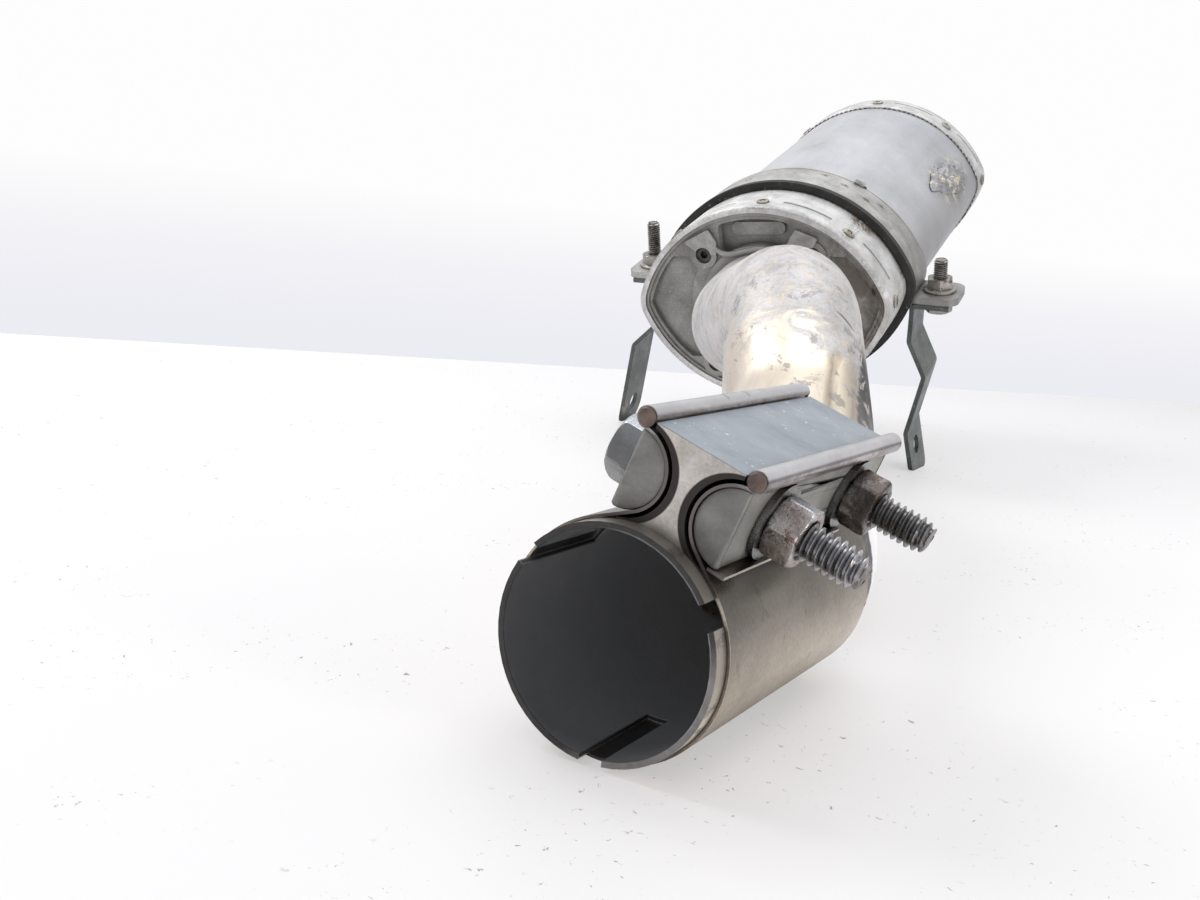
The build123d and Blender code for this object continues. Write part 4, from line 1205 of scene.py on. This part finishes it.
def makeScuff(cfg):
    clearPick()
    bpy.ops.mesh.primitive_grid_add(x_subdivisions=70, y_subdivisions=190, size=2)
    heap = bpy.context.object
    heap.name = "sleeveScuff"
    heap.scale = (cfg["wide"], cfg["long"], 1)
    bpy.ops.object.transform_apply(location=False, rotation=False, scale=True)
    reach = canShape["arcR"]
    editOn(heap)
    bm = bmesh.from_edit_mesh(heap.data)
    for v in bm.verts:
        x, y = v.co.x, v.co.y
        angle = atan2(y / cfg["long"], x / cfg["wide"])
        # lobes round the outline, and a swell at both ends of the patch
        reachOut = 0.82 + 0.10 * sin(3 * angle + 0.8) + 0.05 * sin(7 * angle) + 0.02 * cos(13 * angle)
        out = ((x / cfg["wide"]) ** 2 + (y / cfg["long"]) ** 2) ** 0.5 / reachOut
        swell = max(0.0, 1 - out ** 3) * (0.5 + 0.5 * abs(y) / cfg["long"])
        coarse = sin(820 * y + 500 * x) * cos(700 * x - 300 * y)
        fine = sin(1700 * y) * sin(2100 * x + 800 * y)
        crumple = 0.5 + 0.3 * coarse + 0.2 * fine
        skin = (reach ** 2 - x ** 2) ** 0.5 - reach
        v.co.z = skin + 0.1 * mm + cfg["high"] * swell * max(0.3, crumple)
        v.select_set(out > 1.0)
    bmesh.update_edit_mesh(heap.data)
    bpy.ops.mesh.delete(type="VERT")
    editOff()
    batter(heap, "scuffHeap", cfg["wearSize"], 4, cfg["high"] * 0.45, 0.4, "Z")
    useModifier(heap, "SOLIDIFY", thickness=cfg["thick"], offset=-1)
    settle(heap, onSkin(cfg["angle"], cfg["depth"], 0.0) @ spin(cfg["turn"]))
    smoothBy(heap, 28)
    finishPiece(heap, "sleeve_metal")


makeScuff(scuffCfg)
print("sleeve scuffed")

# rib cast along the web above the pipe, from the left lug to the right one; its path is in mm
ribCfg = dict(path=((-26.5, 36.5), (-23.4, 31.6), (-19.2, 28.4), (-14.2, 28.1), (-8.0, 29.7), (-1.0, 31.2),
                    (6.0, 31.6), (13.0, 30.4), (19.0, 32.0)),
              thick=1.7 * mm, flat=0.75, sunk=0.1 * mm)


def makeRib(cfg):
    clearPick()
    first = cfg["path"][0]
    bpy.ops.mesh.primitive_circle_add(vertices=14, radius=cfg["thick"], fill_type="NGON",
                                      rotation=(0, radians(90), 0),
                                      location=(first[0] * mm, 0, first[1] * mm))
    rib = bpy.context.object
    rib.name = "capRib"
    bpy.ops.object.transform_apply(location=True, rotation=True, scale=True)
    bpy.ops.object.mode_set(mode="EDIT")
    bpy.ops.mesh.select_all(action="SELECT")
    for a, b in zip(cfg["path"], cfg["path"][1:]):
        pull((b[0] - a[0]) * mm, 0, (b[1] - a[1]) * mm)
    bpy.ops.mesh.select_all(action="DESELECT")
    bpy.ops.mesh.select_mode(type="EDGE")
    bpy.ops.mesh.select_non_manifold()
    bpy.ops.mesh.edge_face_add()
    editOff()
    tidyNormals(rib)
    useModifier(rib, "SUBSURF", levels=1, render_levels=1)
    settle(rib, canFrame @ shift(0, -cfg["sunk"], 0) @ Matrix.Scale(cfg["flat"], 4, (0, 1, 0)))
    smoothBy(rib, 60)
    finishPiece(rib, "cap_metal")


makeRib(ribCfg)
print("cap rib made")

# bent tab at the rear edge of the upper band
tabCfg = dict(angle=30.5, depth=66.0 * mm, long=7.5 * mm, wide=3.6 * mm, thick=1.2 * mm, lift=5.6 * mm,
              bend=1.3 * mm, wear=0.7 * mm, wearSize=3 * mm)


def makeTab(cfg):
    clearPick()
    bpy.ops.mesh.primitive_cube_add(size=1)
    tab = bpy.context.object
    tab.name = "bandTab"
    tab.scale = (cfg["long"], cfg["wide"], cfg["thick"])
    bpy.ops.object.transform_apply(location=False, rotation=False, scale=True)
    editOn(tab)
    bpy.ops.mesh.select_all(action="SELECT")
    bpy.ops.mesh.subdivide(number_cuts=6)
    pick("FACE", lambda mid, normal: mid.y > cfg["wide"] * 0.1 and mid.x < cfg["long"] * 0.2)
    bpy.ops.transform.translate(value=(0, 0, cfg["bend"]))
    pick("FACE", lambda mid, normal: mid.x > cfg["long"] * 0.3)
    bpy.ops.transform.resize(value=(1, 0.45, 0.6))
    editOff()
    batter(tab, "tabWear", cfg["wearSize"], 2, cfg["wear"], 0.5)
    useModifier(tab, "SUBSURF", levels=1, render_levels=1)
    settle(tab, onSkin(cfg["angle"], cfg["depth"], cfg["lift"]))
    smoothBy(tab, 50)
    finishPiece(tab, "band_metal")


makeTab(tabCfg)
print("band tab made")

# table, wall, lamps and camera
stageCfg = dict(floor=-0.029425, edgeMid=(-0.415, 0.708, 0), edgeRun=(0.6067, 0.795, 0), wallGap=0.9,
                tableLong=6, tableDeep=3, wallLong=40, wallHigh=12, wallMiddle=4.0)


def overlit(nt, bsdf, col, share):
    # a share of the stage's look is its own light, so that it is as pale as in the picture
    glow = nt.nodes.new("ShaderNodeEmission")
    feed(nt, glow.inputs["Color"], col)
    mix = nt.nodes.new("ShaderNodeMixShader")
    for source, sock in zip((share, bsdf.outputs[0], glow.outputs[0]), mix.inputs):
        nt.links.new(source, sock)
    nt.links.new(mix.outputs[0], nt.nodes["Material Output"].inputs[0])


def tableTop():
    mat, nt, bsdf, vec = newMat("tableTop")
    base = ramp(nt, noise(nt, vec, 3.0, 3, 0.5), (0.3, (0.83, 0.81, 0.80)), (0.7, (0.88, 0.87, 0.865)))
    crumbs = times(nt, span(nt, noise(nt, vec, 2300, 4, 0.65, 0.8, (1, 0.45, 1)), 0.655, 0.685),
                   span(nt, noise(nt, vec, 60, 2, 0.5), 0.46, 0.60))
    base = mixCol(nt, crumbs, base, (0.36, 0.33, 0.31))
    feed(nt, bsdf.inputs["Base Color"], base)
    bsdf.inputs["Roughness"].default_value = 0.5
    feed(nt, bsdf.inputs["Normal"], bump(nt, noise(nt, vec, 300, 3, 0.6), 0.1, 0.0005))
    # seen directly it is lifted towards white
    glowCol = mixCol(nt, crumbs, (1.0, 0.985, 0.975), (0.4, 0.37, 0.35))
    rays = nt.nodes.new("ShaderNodeLightPath")
    overlit(nt, bsdf, glowCol, calc(nt, "MULTIPLY", rays.outputs["Is Camera Ray"], 0.42))
    return mat


def wallPaint():
    # seen by the camera and in reflections it is a pale lavender that whitens upwards
    mat, nt, bsdf, vec = newMat("wallPaint")
    height = span(nt, axisOf(nt, vec, 1), -0.345, -0.29)
    tint = ramp(nt, height, (0.0, (0.84, 0.84, 0.90)), (0.18, (0.92, 0.92, 0.94)),
                (0.32, (0.985, 0.985, 0.985)))
    rays = nt.nodes.new("ShaderNodeLightPath")
    mirrored = calc(nt, "MULTIPLY", rays.outputs["Is Glossy Ray"], 0.9)
    overlit(nt, bsdf, tint, calc(nt, "MAXIMUM", rays.outputs["Is Camera Ray"], mirrored))
    bsdf.inputs["Base Color"].default_value = (0.80, 0.80, 0.86, 1)
    bsdf.inputs["Roughness"].default_value = 0.8
    return mat


def stagePlane(name, mtx, mat):
    clearPick()
    bpy.ops.mesh.primitive_plane_add(size=1)
    plane = bpy.context.object
    plane.name = name
    plane.matrix_world = mtx
    plane.data.materials.append(mat)


up = Vector((0, 0, 1))
edgeRun, edgeMid, deep = Vector(stageCfg["edgeRun"]), Vector(stageCfg["edgeMid"]), stageCfg["tableDeep"]
near = edgeRun.cross(up)
stagePlane("table", axesAt(edgeMid + near * (deep / 2) + up * stageCfg["floor"],
                           edgeRun * stageCfg["tableLong"], near * deep, up), tableTop())
stagePlane("wall", axesAt(edgeMid - near * stageCfg["wallGap"] + up * stageCfg["wallMiddle"],
                          edgeRun * stageCfg["wallLong"], up * stageCfg["wallHigh"], near), wallPaint())

world = bpy.data.worlds.new("studio")
bpy.context.scene.world = world
world.use_nodes = True
sky = world.node_tree.nodes["Background"]
sky.inputs["Color"].default_value = (0.93, 0.94, 1.0, 1)
sky.inputs["Strength"].default_value = 0.6


def softbox(name, loc, target, size, watts, col=(1, 1, 1)):
    bpy.ops.object.light_add(type="AREA", location=loc)
    lamp = bpy.context.object
    lamp.name = name
    lamp.data.shape = "RECTANGLE"
    lamp.data.size, lamp.data.size_y = size
    lamp.data.energy = watts
    lamp.data.color = col
    aim = Vector(target) - Vector(loc)
    lamp.rotation_euler = aim.to_track_quat("-Z", "Y").to_euler()


softbox("windowLight", (-0.9, 0.1, 0.9), (-0.05, 0.25, 0.0), (0.7, 0.6), 8)
softbox("topLight", (0.0, 0.6, 1.1), (-0.08, 0.3, 0.0), (0.9, 0.7), 5, (0.94, 0.96, 1.0))
softbox("rightFill", (0.7, 0.05, 0.22), (0.02, 0.08, 0.0), (0.16, 0.5), 2.2, (1.0, 0.97, 0.92))

camCfg = dict(place=(0.1345, -0.2483, 0.0945), turn=(79.95, -5.98, 30.54), lens=39, sensor=36, near=0.01)
bpy.ops.object.camera_add(location=camCfg["place"], rotation=[radians(a) for a in camCfg["turn"]])
cam = bpy.context.object
cam.data.lens = camCfg["lens"]
cam.data.sensor_width = camCfg["sensor"]
cam.data.clip_start = camCfg["near"]
bpy.context.scene.camera = cam
bpy.context.scene.view_settings.view_transform = "Standard"
print("stage and camera ready")
